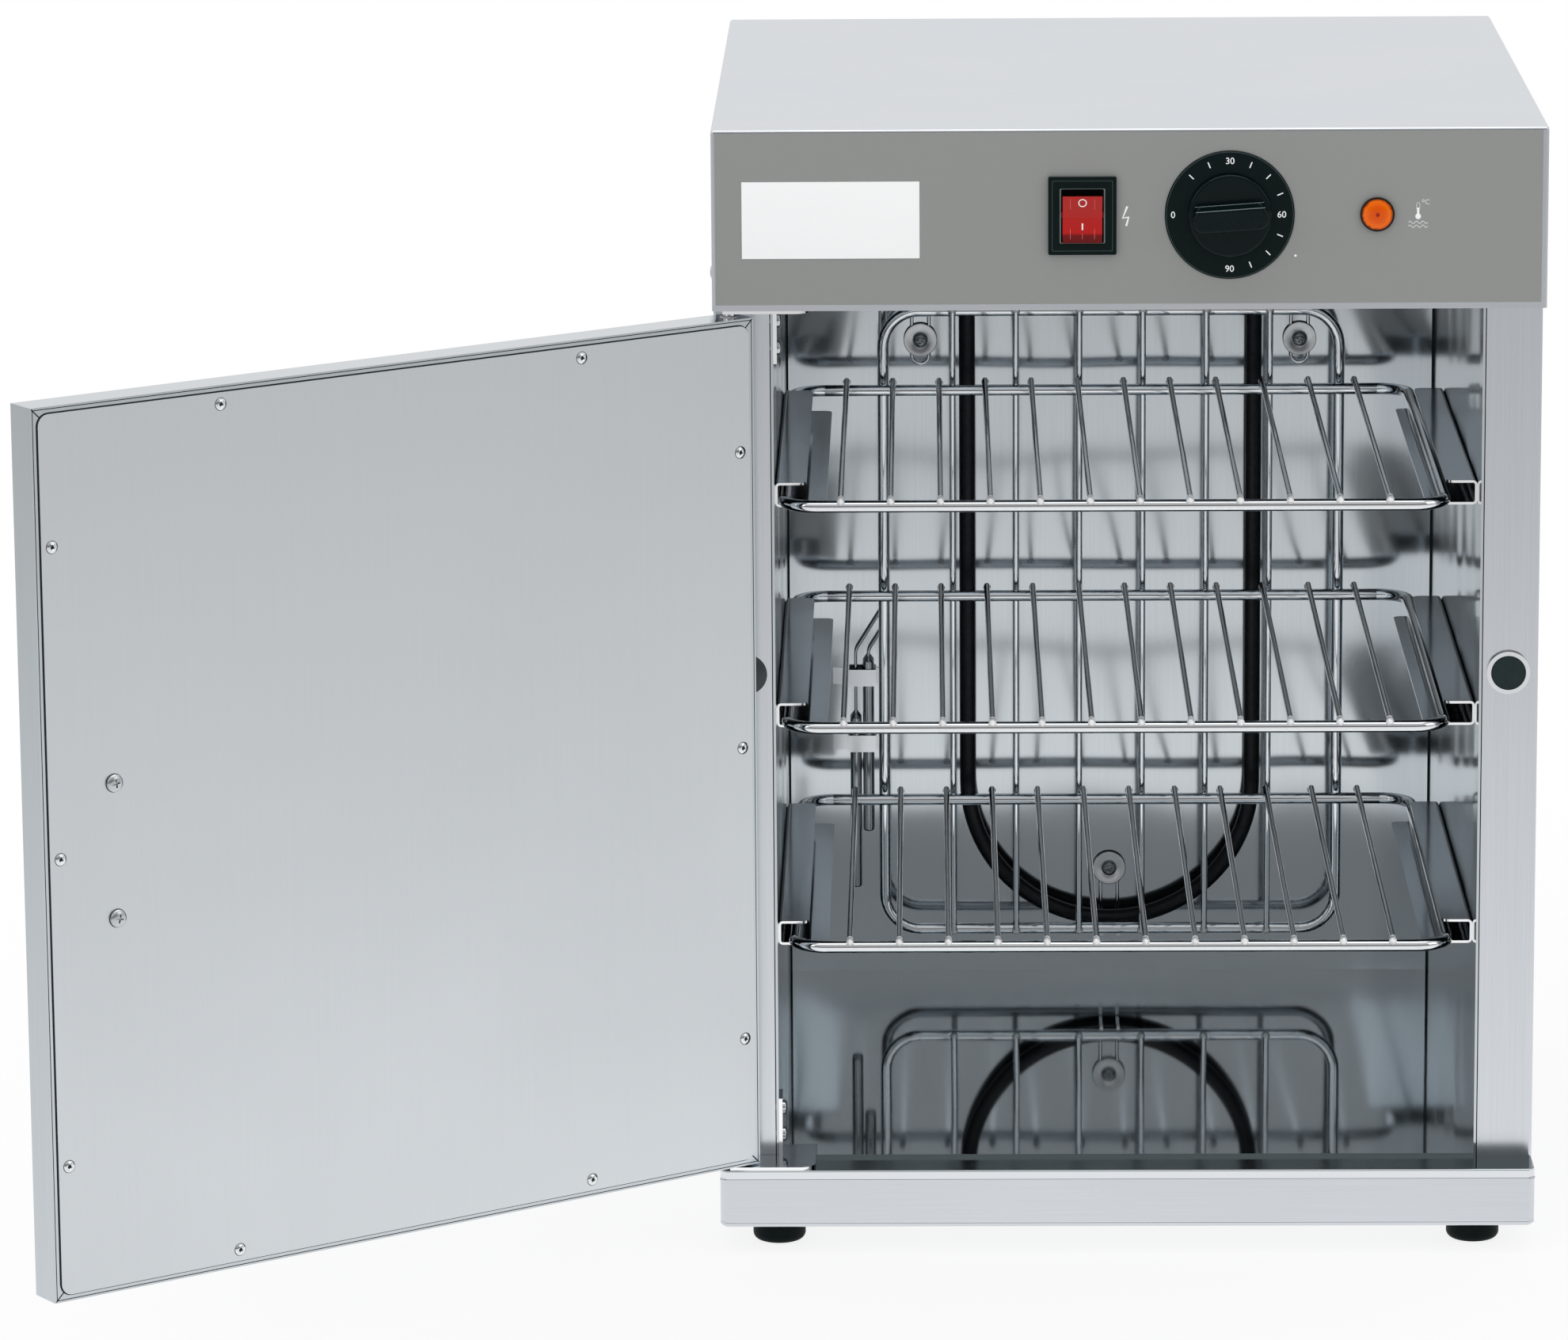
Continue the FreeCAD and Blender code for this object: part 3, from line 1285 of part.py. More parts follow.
def make_door():
    """The insulated door: pan, inner panel, slab, rivets, handle and bushes."""
    gauge_door = cell.door_gauge
    flange_back = door_back - gauge_door
    pan = new_body("door_outer_pan")
    add(pan, "XZ_Plane", front, flange_back, door_outline(ZERO))
    fillet(pan, cell.door_edge, lambda box: abs(box.YMax - float(front)) < NEAR_ENOUGH)
    cut(pan, "XZ_Plane", front + gauge_door, flange_back - gauge_door, door_outline(gauge_door))
    cut(pan, "XZ_Plane", flange_back - gauge_door * 2, flange_back + cell.overrun,
        door_outline(cell.door_flange))
    rivet_hole_door = cell.rivet_radius + cell.pressed_gap
    cut(pan, "XZ_Plane", flange_back - gauge_door * 2, flange_back + cell.overrun,
        *[Circle(x, z, rivet_hole_door) for x, z in door_rivet_places])
    screw_holes = [Circle(handle_x, z, screw_hole) for z in handle_levels]
    cut(pan, "XZ_Plane", front - cell.overrun, front + cell.overrun, *screw_holes)
    bush_hole = Circle(pivot_x, pivot_y, cell.bush_radius + cell.pressed_gap)
    cut(pan, "XY_Plane", door_low - cell.overrun, door_high + cell.overrun, bush_hole)
    keep(hang(pan))

    panel = new_body("door_inner_panel")
    add(panel, "XZ_Plane", flange_back, door_back,
        door_outline(cell.door_reveal, cell.door_panel_corner),
        *[Circle(x, z, rivet_hole_door) for x, z in door_rivet_places], *screw_holes)
    keep(hang(panel))

    slab = new_body("door_insulation")
    add(slab, "XZ_Plane", front + gauge_door, flange_back, door_outline(cell.door_lagging_inset),
        *screw_holes)
    keep(hang(slab))

    rivet = new_body("door_rivet")
    bore, head, shank = cell.door_rivet_bore, cell.door_rivet_head, cell.rivet_radius
    turn(rivet, [(bore, -cell.door_rivet_length), (shank, -cell.door_rivet_length),
                 (shank, ZERO), (head, ZERO), (head - bore, cell.door_rivet_head_height),
                 (bore, cell.door_rivet_head_height)])
    hang(group("door_rivets", rivet, [(x, door_back, z, "back") for x, z in door_rivet_places]))

    handle_screw = screw("handle_screw", cell.handle_screw_length, cell.handle_screw_head)
    hang(group("handle_screws", handle_screw,
               [(handle_x, door_back, z, "back") for z in handle_levels]))

    handle = new_body("door_handle")
    low, high = handle_levels
    bend = cell.handle_bend
    out = front - cell.handle_reach
    path = [(front, low), (out + bend, low, -bend), (out, low + bend), (out, high - bend, -bend),
            (out + bend, high), (front, high)]
    sweep(handle, "YZ_Plane", handle_x, path, False,
          "XZ_Plane", front, Circle(handle_x, low, cell.handle_radius))
    cut(handle, "XZ_Plane", front - (cell.handle_screw_length - cell.door_thickness)
        - cell.seat_gap, front + cell.overrun,
        *[Circle(handle_x, z, cell.screw_radius + cell.pressed_gap) for z in handle_levels])
    keep(hang(handle))

    bush = new_body("door_bush")
    bore = cell.pin_radius + cell.running_gap
    flange = -cell.door_gauge
    turn(bush, [(bore, -cell.bush_length), (cell.bush_radius, -cell.bush_length),
                (cell.bush_radius, flange - cell.bush_flange_gauge),
                (cell.bush_flange_radius, flange - cell.bush_flange_gauge),
                (cell.bush_flange_radius, flange), (cell.bush_radius, flange),
                (cell.bush_radius, cell.bush_proud), (bore, cell.bush_proud)])
    hang(group("door_bushes", bush, [(pivot_x, pivot_y, door_low, "down"),
                                     (pivot_x, pivot_y, door_high, "up")]))


def make_wiring():
    """The leads that join the terminal block, switch, thermostats, lamp and element."""
    top = cell.lead_height
    bend, radius = cell.lead_bend, cell.lead_radius
    block_top = ceiling_top + cell.terminal_height
    block_y = rear - cell.terminal_rear + cell.terminal_width / 2
    middle = cell.terminal_place + cell.terminal_length / 2
    ways = [middle + cell.terminal_spacing * step for step in (-1, 0, 1)]
    switch_back = panel_front + cell.switch_depth
    lamp_back = panel_front + cell.lamp_body_depth
    level_step = radius * 4
    low_switch = cell.control_height - cell.switch_opening_height / 4
    high_switch = cell.control_height + cell.switch_opening_height / 4
    switch = -cell.switch_place
    heater_top = ceiling_top + cell.heater_cold_length + cell.heater_pin_length
    leads = [
        bent_tube("switch_lead", [(ways[1], block_y, block_top), (ways[1], block_y, top),
                                  (ways[1], limit_rear, top), (switch, limit_rear, top),
                                  (switch, limit_rear, high_switch),
                                  (switch, switch_back, high_switch)], bend, radius),
        bent_tube("heater_lead", [(ways[0], block_y, block_top),
                                  (ways[0], block_y, top - level_step),
                                  (heater_half, block_y, top - level_step),
                                  (heater_half, heater_line, top - level_step),
                                  (heater_half, heater_line, heater_top)], bend, radius),
        bent_tube("lamp_lead", [(ways[2], block_y, block_top), (ways[2], block_y, top),
                                (ways[2], limit_front, top),
                                (cell.lamp_place, limit_front, top),
                                (cell.lamp_place, limit_front, cell.control_height),
                                (cell.lamp_place, lamp_back, cell.control_height)],
                  bend, radius),
        bent_tube("limit_lead", [(switch, switch_back, low_switch),
                                 (switch, limit_front - bend * 2, low_switch),
                                 (sensor_places[1], limit_front - bend * 2, low_switch),
                                 (sensor_places[1], limit_front - bend * 2,
                                  cell.limit_run_height),
                                 (sensor_places[1], limit_front, cell.limit_run_height)],
                  bend, radius),
    ]
    gather("wiring", leads)


def check_and_write():
    """Stops on any failed object or idle cut, then writes each piece."""
    document.recompute()
    for item in document.Objects:
        if {"Invalid", "Error"} & set(item.State):
            raise RuntimeError("%s failed: %s" % (item.Label, item.State))
    for before, feature in cuts:
        if feature.Shape.Volume >= before.Shape.Volume:
            raise RuntimeError("%s removes nothing" % feature.Label)
    os.makedirs("parts", exist_ok=True)
    for piece in pieces:
        if piece.Shape.isNull() or not piece.Shape.isValid():
            raise RuntimeError("%s has no valid shape" % piece.Label)
    for piece in pieces:
        piece.Shape.exportStep("parts/%s.step" % piece.Label)
        box = piece.Shape.BoundBox
        print("%-22s %2d solids  x %.1f %.1f  y %.1f %.1f  z %.1f %.1f" % (
            piece.Label, len(piece.Shape.Solids), box.XMin, box.XMax, box.YMin, box.YMax,
            box.ZMin, box.ZMax))


make_base()
make_casing()
make_lining()
make_runners()
make_shelf("shelf_upper", cell.upper_shelf_height, cell.upper_shelf_shift)
make_shelf("shelf_middle", cell.middle_shelf_height, cell.middle_shelf_shift)
make_shelf("shelf_lower", cell.lower_shelf_height, cell.lower_shelf_shift)
make_guard()
make_heater()
make_sensors()
make_controls()
make_switch()
make_connections()
make_hinge()
make_catch()
make_door()
make_wiring()
check_and_write()
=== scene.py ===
"""Looks of the plate warmer cabinet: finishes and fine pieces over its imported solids.

Lengths are in metres in the row frame: +X to the right, +Y to the back, +Z up, and the
origin on the worktop under the middle of the casing.
"""

import logging
import math
from dataclasses import dataclass
from enum import Enum
from functools import cached_property
from typing import Iterable, Sequence

import bmesh
import bpy
from mathutils import Matrix, Vector, noise


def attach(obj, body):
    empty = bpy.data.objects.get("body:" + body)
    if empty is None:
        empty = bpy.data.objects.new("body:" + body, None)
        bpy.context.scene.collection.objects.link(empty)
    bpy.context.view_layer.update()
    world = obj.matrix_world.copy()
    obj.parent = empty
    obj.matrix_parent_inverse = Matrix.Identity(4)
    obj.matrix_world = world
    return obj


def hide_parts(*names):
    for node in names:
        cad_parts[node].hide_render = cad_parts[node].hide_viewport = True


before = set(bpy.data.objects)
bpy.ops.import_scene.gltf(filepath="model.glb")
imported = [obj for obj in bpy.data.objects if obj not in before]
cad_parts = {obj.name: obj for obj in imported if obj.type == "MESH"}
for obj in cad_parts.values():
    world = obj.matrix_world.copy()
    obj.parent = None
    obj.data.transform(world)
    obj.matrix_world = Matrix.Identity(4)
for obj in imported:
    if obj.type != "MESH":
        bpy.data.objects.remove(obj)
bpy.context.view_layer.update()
MILLI = 0.001
TOUCH = 0.000001
HANDLED = (6.0, 6.0, 6.0)
WORN = (25.0, 25.0, 25.0)
WAVE_STRETCH = 0.55

Colour = tuple[float, float, float]
Place = tuple[float, float]
Point = tuple[float, float, float]
Profile = Sequence[Place]
Mesh = bpy.types.Mesh
Socket = bpy.types.NodeSocket

log = logging.getLogger("plate_warmer")


class Body(Enum):
    """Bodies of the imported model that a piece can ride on."""

    CABINET = "cabinet"
    DOOR = "door"
    KNOB = "thermostat_knob"
    ROCKER = "rocker"
    UPPER = "shelf_upper"
    MIDDLE = "shelf_middle"
    LOWER = "shelf_lower"


class Grain(Enum):
    """How often the grinding marks of a sheet change, per metre along X, Y and Z."""

    ACROSS = (14.0, 1300.0, 1300.0)
    UPRIGHT = (1300.0, 1300.0, 14.0)
    DEEP = (1300.0, 14.0, 1300.0)
    EVEN = (500.0, 500.0, 500.0)


class Facing(Enum):
    """Turn that brings a piece made with +Z outwards to face one side of the cabinet."""

    FRONT = Matrix.Rotation(math.radians(90), 4, "X")
    BACK = Matrix.Rotation(math.radians(-90), 4, "X")
    RIGHT = Matrix.Rotation(math.radians(90), 4, "Y")
    LEFT = Matrix.Rotation(math.radians(-90), 4, "Y")

    def at(self, x: float, y: float, z: float) -> Matrix:
        """Gives this turn at a place in metres."""
        return Matrix.Translation((x, y, z)) @ self.value


class NodeGraph:
    """A node tree that is put together step by step."""

    def __init__(self, tree: bpy.types.NodeTree) -> None:
        """Starts from the nodes that the tree has."""
        self.nodes, self.links = tree.nodes, tree.links

    def split(self, source: Socket) -> bpy.types.NodeOutputs:
        """Separates a vector.

        Args:
            source: Vector that varies over the surface.

        Returns:
            Its X, Y and Z parts.
        """
        parts = self.nodes.new("ShaderNodeSeparateXYZ")
        self.links.new(source, parts.inputs[0])
        return parts.outputs

    def vector(self, kind: str, source: Socket,
               value: Point = (0.0, 0.0, 0.0)) -> bpy.types.NodeOutputs:
        """Works out a varying vector and a fixed one.

        Args:
            kind: Operation of the Vector Math node.
            source: Vector that varies over the surface.
            value: Fixed vector, where the operation takes one.

        Returns:
            The node's Vector and Value.
        """
        node = self.nodes.new("ShaderNodeVectorMath")
        node.operation = kind
        self.links.new(source, node.inputs[0])
        node.inputs[1].default_value = value
        return node.outputs

    def span(self, source: Socket, low: float, high: float, start: float = 0.3,
             end: float = 0.7) -> Socket:
        """Maps a varying value to a range.

        Args:
            source: Value that varies over the surface.
            low: Result at the start of the range.
            high: Result at its end.
            start: Value that counts as the start.
            end: Value that counts as the end.

        Returns:
            The mapped value.
        """
        ranged = self.nodes.new("ShaderNodeMapRange")
        for name, value in (("From Min", start), ("From Max", end), ("To Min", low),
                            ("To Max", high)):
            ranged.inputs[name].default_value = value
        self.links.new(source, ranged.inputs["Value"])
        return ranged.outputs["Result"]

    def blend(self, source: Socket, first: Colour | Socket, second: Colour | Socket) -> Socket:
        """Blends two colours by a varying value.

        Args:
            source: Value from 0 to 1.
            first: Colour at 0, fixed or varying.
            second: Colour at 1, fixed or varying.

        Returns:
            The blended colour.
        """
        mix = self.nodes.new("ShaderNodeMix")
        mix.data_type = "RGBA"
        for name, colour in (("A", first), ("B", second)):
            if isinstance(colour, Socket):
                self.links.new(colour, mix.inputs[name])
            else:
                mix.inputs[name].default_value = (*colour, 1.0)
        self.links.new(source, mix.inputs["Factor"])
        return mix.outputs["Result"]

    def ramp(self, source: Socket, stops: Iterable[tuple[float, Colour]]) -> Socket:
        """Colours a varying value.

        Args:
            source: Value from 0 to 1.
            stops: Value and colour of each stop, in order.

        Returns:
            The colour.
        """
        node = self.nodes.new("ShaderNodeValToRGB")
        self.links.new(source, node.inputs["Fac"])
        elements = node.color_ramp.elements
        for number, (position, colour) in enumerate(stops):
            stop = elements[number] if number < len(elements) else elements.new(position)
            stop.position = position
            stop.color = (*colour, 1.0)
        return node.outputs["Color"]

    def mixed(self, share: Socket, first: Socket, second: Socket) -> Socket:
        """Mixes two shaders.

        Args:
            share: Share of the second one.
            first: Shader at 0.
            second: Shader at 1.

        Returns:
            The resulting shader.
        """
        choice = self.nodes.new("ShaderNodeMixShader")
        for number, source in enumerate((share, first, second)):
            self.links.new(source, choice.inputs[number])
        return choice.outputs[0]

    def choose(self, usual: Socket, *others: tuple[str, Socket]) -> Socket:
        """Shows another shader to some kinds of rays.

        Args:
            usual: Shader for the other rays.
            *others: Output of the Light Path node, and the shader for these rays.

        Returns:
            The resulting shader.
        """
        path = self.nodes.new("ShaderNodeLightPath")
        for name, other in others:
            usual = self.mixed(path.outputs[name], usual, other)
        return usual


class ShaderGraph(NodeGraph):
    """A material with one Principled shader."""

    def __init__(self, name: str) -> None:
        """Makes the material.

        Args:
            name: Name of the material.
        """
        self.material = bpy.data.materials.new(name)
        self.material.use_nodes = True
        super().__init__(self.material.node_tree)
        self.shader = self.nodes["Principled BSDF"]
        source = self.nodes.new("ShaderNodeTexCoord")
        self.place, self.facing = source.outputs["Object"], source.outputs["Normal"]
        self.relief: Socket | None = None

    def fix(self, **values: float | tuple[float, ...]) -> None:
        """Sets even values on the shader's own sockets.

        Args:
            **values: Socket names in lower case with underscores, and their values.
        """
        for name, value in values.items():
            title = name.replace("_", " ").title().replace("Ior", "IOR")
            self.shader.inputs[title].default_value = value

    def noise(self, scales: Point, detail: float = 2.0) -> Socket:
        """Adds soft noise over the object's own coordinates.

        Args:
            scales: Changes per metre along X, Y and Z.
            detail: Octaves of finer noise.

        Returns:
            The noise value, about 0.3 to 0.7.
        """
        mapping = self.nodes.new("ShaderNodeMapping")
        mapping.inputs["Scale"].default_value = scales
        self.links.new(self.place, mapping.inputs["Vector"])
        texture = self.nodes.new("ShaderNodeTexNoise")
        texture.inputs["Scale"].default_value = 1.0
        texture.inputs["Detail"].default_value = detail
        self.links.new(mapping.outputs["Vector"], texture.inputs["Vector"])
        return texture.outputs["Fac"]

    def feed(self, name: str, source: Socket) -> None:
        """Links a varying value to one of the shader's sockets."""
        self.links.new(source, self.shader.inputs[name])

    def mottle(self, source: Socket, colour: Colour, contrast: float) -> None:
        """Varies the base colour by a noise, darker and lighter by a share."""
        self.feed("Base Color", self.blend(self.span(source, 0.0, 1.0),
                                           shade(colour, 1.0 - contrast),
                                           shade(colour, 1.0 + contrast)))

    def rub(self, source: Socket, roughness: float, share: float) -> None:
        """Varies the roughness by a noise, smoother and rougher by a share."""
        self.feed("Roughness", self.span(source, roughness * (1.0 - share),
                                         roughness * (1.0 + share)))

    def raise_by(self, source: Socket, distance: float) -> None:
        """Adds relief on top of what is there.

        Args:
            source: Height from 0 to 1.
            distance: Height in metres that 1 stands for.
        """
        bump = self.nodes.new("ShaderNodeBump")
        bump.inputs["Distance"].default_value = distance
        self.links.new(source, bump.inputs["Height"])
        if self.relief:
            self.links.new(self.relief, bump.inputs["Normal"])
        self.relief = bump.outputs["Normal"]
        self.feed("Normal", self.relief)


def shade(colour: Colour, factor: float) -> Colour:
    """Gives a colour made darker or lighter by a factor, up to white."""
    return tuple(min(1.0, part * factor) for part in colour)


@dataclass(frozen=True)
class SteelFinish:
    """A ground, polished or plated steel surface."""

    name: str
    colour: Colour
    roughness: float
    grain: Grain = Grain.EVEN
    contrast: float = 0.02
    depth: float = 0.000004
    wave: float = 0.0
    waves_per_metre: float = 9.0

    @cached_property
    def material(self) -> bpy.types.Material:
        """Node material with grinding marks, handling marks and slow waves."""
        graph = ShaderGraph(self.name)
        graph.fix(metallic=1.0)
        marks = graph.noise(self.grain.value, detail=3.0)
        graph.mottle(marks, self.colour, self.contrast)
        graph.rub(graph.noise(HANDLED, detail=4.0), self.roughness, share=0.12)
        if self.depth:
            graph.raise_by(marks, self.depth)
        if self.wave:
            scale = self.waves_per_metre
            waves = graph.noise((scale, scale, scale * WAVE_STRETCH), detail=1.0)
            graph.raise_by(waves, self.wave)
        return graph.material


@dataclass(frozen=True)
class MouldedFinish:
    """Plastic, rubber, ceramic, film, paint or wool with its own fine texture; some of these
    finishes are painted highlights and painted shade.
    """

    name: str
    colour: Colour
    roughness: float
    texture: float = 900.0
    relief: float = 0.00001
    contrast: float = 0.08
    metallic: float = 0.0
    sheen: float = 0.0
    grain: Point = (1.0, 1.0, 1.0)
    gloss: float = 0.5

    @cached_property
    def material(self) -> bpy.types.Material:
        """Node material with speckle, wear and a fine relief."""
        graph = ShaderGraph(self.name)
        graph.fix(metallic=self.metallic, sheen_weight=self.sheen, specular_ior_level=self.gloss)
        fine = graph.noise(tuple(self.texture * part for part in self.grain), detail=3.0)
        graph.mottle(fine, self.colour, self.contrast)
        graph.rub(graph.noise(WORN, detail=3.0), self.roughness, share=0.15)
        graph.raise_by(fine, self.relief)
        return graph.material


@dataclass(frozen=True)
class FacedFinish:
    """Polished sheet whose faces towards one side get another, painted tone: shade on the ledge, a
    highlight on the runners.
    """

    name: str
    colour: Colour
    other: Colour
    axis: str
    start: float
    end: float
    roughness: float
    grain: Grain
    wave: float = 0.0
    waves: Point = (12.0, 12.0, 7.0)
    depth: float = 0.000001

    @cached_property
    def material(self) -> bpy.types.Material:
        """Node material that picks its tone by the way a face looks; the other tone is painted
        light.
        """
        graph = ShaderGraph(self.name)
        graph.fix(metallic=1.0)
        turned = graph.span(graph.split(graph.facing)[self.axis], 0.0, 1.0, self.start, self.end)
        graph.feed("Base Color", graph.blend(turned, self.colour, self.other))
        marks = graph.noise(self.grain.value, detail=3.0)
        graph.rub(marks, self.roughness, share=0.1)
        graph.raise_by(marks, self.depth)
        if self.wave:
            graph.raise_by(graph.noise(self.waves, detail=1.0), self.wave)
        return graph.material


@dataclass(frozen=True)
class LitFinish:
    """Clear coloured plastic with a glow, whose tone changes from its middle outwards and holds
    painted shade.
    """

    name: str
    middle: Point
    reach: Point
    stops: tuple[tuple[float, Colour], ...]
    glow: float
    roughness: float = 0.25
    gloss: float = 0.2
    ribs: Point = (260.0, 260.0, 260.0)
    uneven: float = 0.06

    @cached_property
    def material(self) -> bpy.types.Material:
        """Node material whose colour is set by the place between middle and rim."""
        graph = ShaderGraph(self.name)
        graph.fix(roughness=self.roughness, specular_ior_level=self.gloss,
                  emission_strength=self.glow)
        offset = graph.vector("SUBTRACT", graph.place, self.middle)["Vector"]
        spread = graph.vector("LENGTH", graph.vector("DIVIDE", offset, self.reach)["Vector"])
        uneven = graph.span(graph.noise(self.ribs, detail=1.0), -self.uneven, self.uneven)
        total = graph.nodes.new("ShaderNodeMath")
        graph.links.new(spread["Value"], total.inputs[0])
        graph.links.new(uneven, total.inputs[1])
        colour = graph.ramp(total.outputs[0], self.stops)
        for name in ("Base Color", "Emission Color"):
            graph.feed(name, colour)
        return graph.material


SATIN_ACROSS = SteelFinish("satin_steel_across", (0.66, 0.69, 0.73), roughness=0.28,
                           grain=Grain.ACROSS)
SATIN_UPRIGHT = SteelFinish("satin_steel_upright", (0.66, 0.69, 0.73), roughness=0.20,
                            grain=Grain.UPRIGHT, depth=0.000002)
DOOR_FACE = SteelFinish("door_face_steel", (0.70, 0.735, 0.765), roughness=0.32,
                        grain=Grain.UPRIGHT, contrast=0.01, depth=0.000002)
DOOR_PAN = SteelFinish("door_pan_steel", (0.58, 0.62, 0.65), roughness=0.15, grain=Grain.UPRIGHT,
                       depth=0.000001)
LINING = SteelFinish("lining_steel", (0.58, 0.62, 0.65), roughness=0.10, grain=Grain.UPRIGHT,
                     depth=0.0, wave=0.0034, waves_per_metre=8.0)
FLOOR_LINING = SteelFinish("floor_lining_steel", (0.66, 0.71, 0.74), roughness=0.045,
                           grain=Grain.DEEP, depth=0.0, wave=0.0003, waves_per_metre=5.0)
# Painted shade: the ledge's upward faces get the dark tone, and its front lip stays bright.
LEDGE_PAINTED_SHADE = FacedFinish("ledge_steel_painted_shade", (0.74, 0.77, 0.80), other=(0.14, 0.19, 0.20), axis="Z",
                    start=0.55, end=0.95, roughness=0.10, grain=Grain.ACROSS)
# Painted highlight: faces of the runners and hinge brackets that look to the front get a near-white
# tone.
FOLDED_PAINTED_HIGHLIGHT = FacedFinish("folded_steel_painted_highlight", (0.46, 0.50, 0.53), other=(0.97, 0.98, 0.99), axis="Y",
                     start=-0.6, end=-0.95, roughness=0.11, grain=Grain.DEEP, wave=0.0004)
BRACKET = SteelFinish("bracket_steel", (0.66, 0.69, 0.72), roughness=0.16, grain=Grain.DEEP,
                      depth=0.000001)
CHROME = SteelFinish("chrome_wire", (0.78, 0.80, 0.82), roughness=0.06, depth=0.0)
RIVET = SteelFinish("rivet_steel", (0.80, 0.83, 0.85), roughness=0.16, contrast=0.03,
                    depth=0.000002)
BULB = SteelFinish("bulb_steel", (0.42, 0.44, 0.45), roughness=0.2, grain=Grain.UPRIGHT,
                   contrast=0.03, depth=0.000002)
# Painted shade along the base's lower fold.
FOLD_PAINTED_SHADE = SteelFinish("fold_painted_shade_steel", (0.42, 0.45, 0.48), roughness=0.3, grain=Grain.ACROSS)
SCREW = SteelFinish("screw_steel", (0.60, 0.62, 0.64), roughness=0.24, contrast=0.04)
DARK_SCREW = SteelFinish("guard_screw_steel", (0.22, 0.24, 0.25), roughness=0.22, contrast=0.06)
# The beads are real; their near-white colour is a painted highlight.
WELD_HIGHLIGHT = MouldedFinish("weld_bead_painted_highlight", (0.97, 0.975, 0.98), roughness=0.28, texture=300.0,
                     relief=0.00002, contrast=0.02, metallic=0.25)
# Dark tone of real seams and joints, and painted shade in rivet holes, around heads, along the
# door's edge bend and along its panel joint.
SEAM_AND_SHADE = MouldedFinish("seam_shadow", (0.018, 0.026, 0.028), roughness=0.6, gloss=0.1)
RUBBER = MouldedFinish("foot_rubber", (0.003, 0.007, 0.007), roughness=0.6, texture=700.0,
                       relief=0.00003, gloss=0.1)
OVERLAY = MouldedFinish("overlay_film", (0.288, 0.295, 0.288), roughness=0.42, texture=2200.0,
                        relief=0.000004, contrast=0.02, gloss=0.3)
PLATE = MouldedFinish("blank_plate_film", (0.97, 0.975, 0.98), roughness=0.35, texture=1500.0,
                      relief=0.000003, contrast=0.01)
BLACK = MouldedFinish("black_plastic", (0.0016, 0.0075, 0.0075), roughness=0.24, texture=1100.0,
                      relief=0.000004, contrast=0.2, gloss=0.12)
KNOB_BLACK = MouldedFinish("knob_plastic", (0.0014, 0.0065, 0.0070), roughness=0.16,
                           relief=0.000003, contrast=0.2, gloss=0.16)
INK = MouldedFinish("white_ink", (0.95, 0.96, 0.96), roughness=0.5, texture=3000.0,
                    relief=0.000002, contrast=0.02)
PALE_INK = MouldedFinish("pale_ink", (0.66, 0.67, 0.67), roughness=0.5, texture=3000.0,
                         relief=0.000002, contrast=0.03)
# Painted highlights of the rocker's ribs.
RIB_HIGHLIGHT = MouldedFinish("rocker_rib_highlight", (0.60, 0.16, 0.14), roughness=0.5, texture=3000.0,
                        relief=0.000002, contrast=0.03)
# Painted highlight along the dial's rim and along the step of the switch frame.
RIM_HIGHLIGHT = MouldedFinish("dial_rim_highlight", (0.05, 0.075, 0.075), roughness=0.3, texture=1100.0,
                         relief=0.000002)
# Painted highlight around the rocker's opening and along the knob's grip.
LIP_HIGHLIGHT = MouldedFinish("switch_lip_highlight", (0.12, 0.16, 0.16), roughness=0.2, texture=1100.0,
                    relief=0.000002)
# Painted light on the rocker: a weak painted glow, and painted shade darkening its lower end.
ROCKER_RED = LitFinish("rocker_red", middle=(-0.0225, -0.2010, 0.5215), reach=(1.0, 1.0, 0.0200),
                       stops=((0.0, (0.40, 0.018, 0.015)), (0.66, (0.44, 0.010, 0.009)),
                              (0.71, (0.16, 0.006, 0.006)), (1.0, (0.08, 0.004, 0.004))),
                       glow=0.08, uneven=0.012)
# The dark ring at the rim of the lens is painted shade.
LAMP_AMBER = LitFinish("lamp_amber", middle=(0.1183, -0.2020, 0.5164),
                       reach=(0.0080, 1.0, 0.0080),
                       stops=((0.0, (0.10, 0.004, 0.001)), (0.09, (0.34, 0.024, 0.001)),
                              (0.16, (0.62, 0.070, 0.001)), (0.45, (0.66, 0.085, 0.001)),
                              (0.78, (0.78, 0.135, 0.003)), (0.92, (0.20, 0.026, 0.002))),
                       glow=0.12, roughness=0.12, gloss=0.25, ribs=(420.0, 420.0, 420.0),
                       uneven=0.035)
BEZEL = MouldedFinish("lamp_bezel", (0.010, 0.006, 0.004), roughness=0.2, relief=0.000004,
                      gloss=0.2)
PLUG = MouldedFinish("column_plug", (0.045, 0.055, 0.058), roughness=0.3, texture=800.0,
                     gloss=0.3)
OXIDE = MouldedFinish("element_oxide", (0.012, 0.015, 0.017), roughness=0.36, texture=420.0,
                      relief=0.00002, contrast=0.25, metallic=0.4, gloss=0.3)
CERAMIC = MouldedFinish("ceramic", (0.78, 0.75, 0.68), roughness=0.5, texture=500.0,
                        relief=0.00002, contrast=0.04)
MAGNET = MouldedFinish("magnet_ferrite", (0.012, 0.024, 0.026), roughness=0.4, contrast=0.15,
                       gloss=0.2)
WOOL = MouldedFinish("mineral_wool", (0.72, 0.66, 0.50), roughness=0.95, texture=350.0,
                     relief=0.0004, contrast=0.2, sheen=0.3, grain=(1.0, 1.0, 0.2))
BEARING = MouldedFinish("bearing_plastic", (0.78, 0.78, 0.74), roughness=0.45)
SLEEVE = MouldedFinish("lead_sleeve", (0.74, 0.72, 0.66), roughness=0.6, texture=1500.0,
                       relief=0.00002)


Finish = SteelFinish | MouldedFinish | FacedFinish | LitFinish


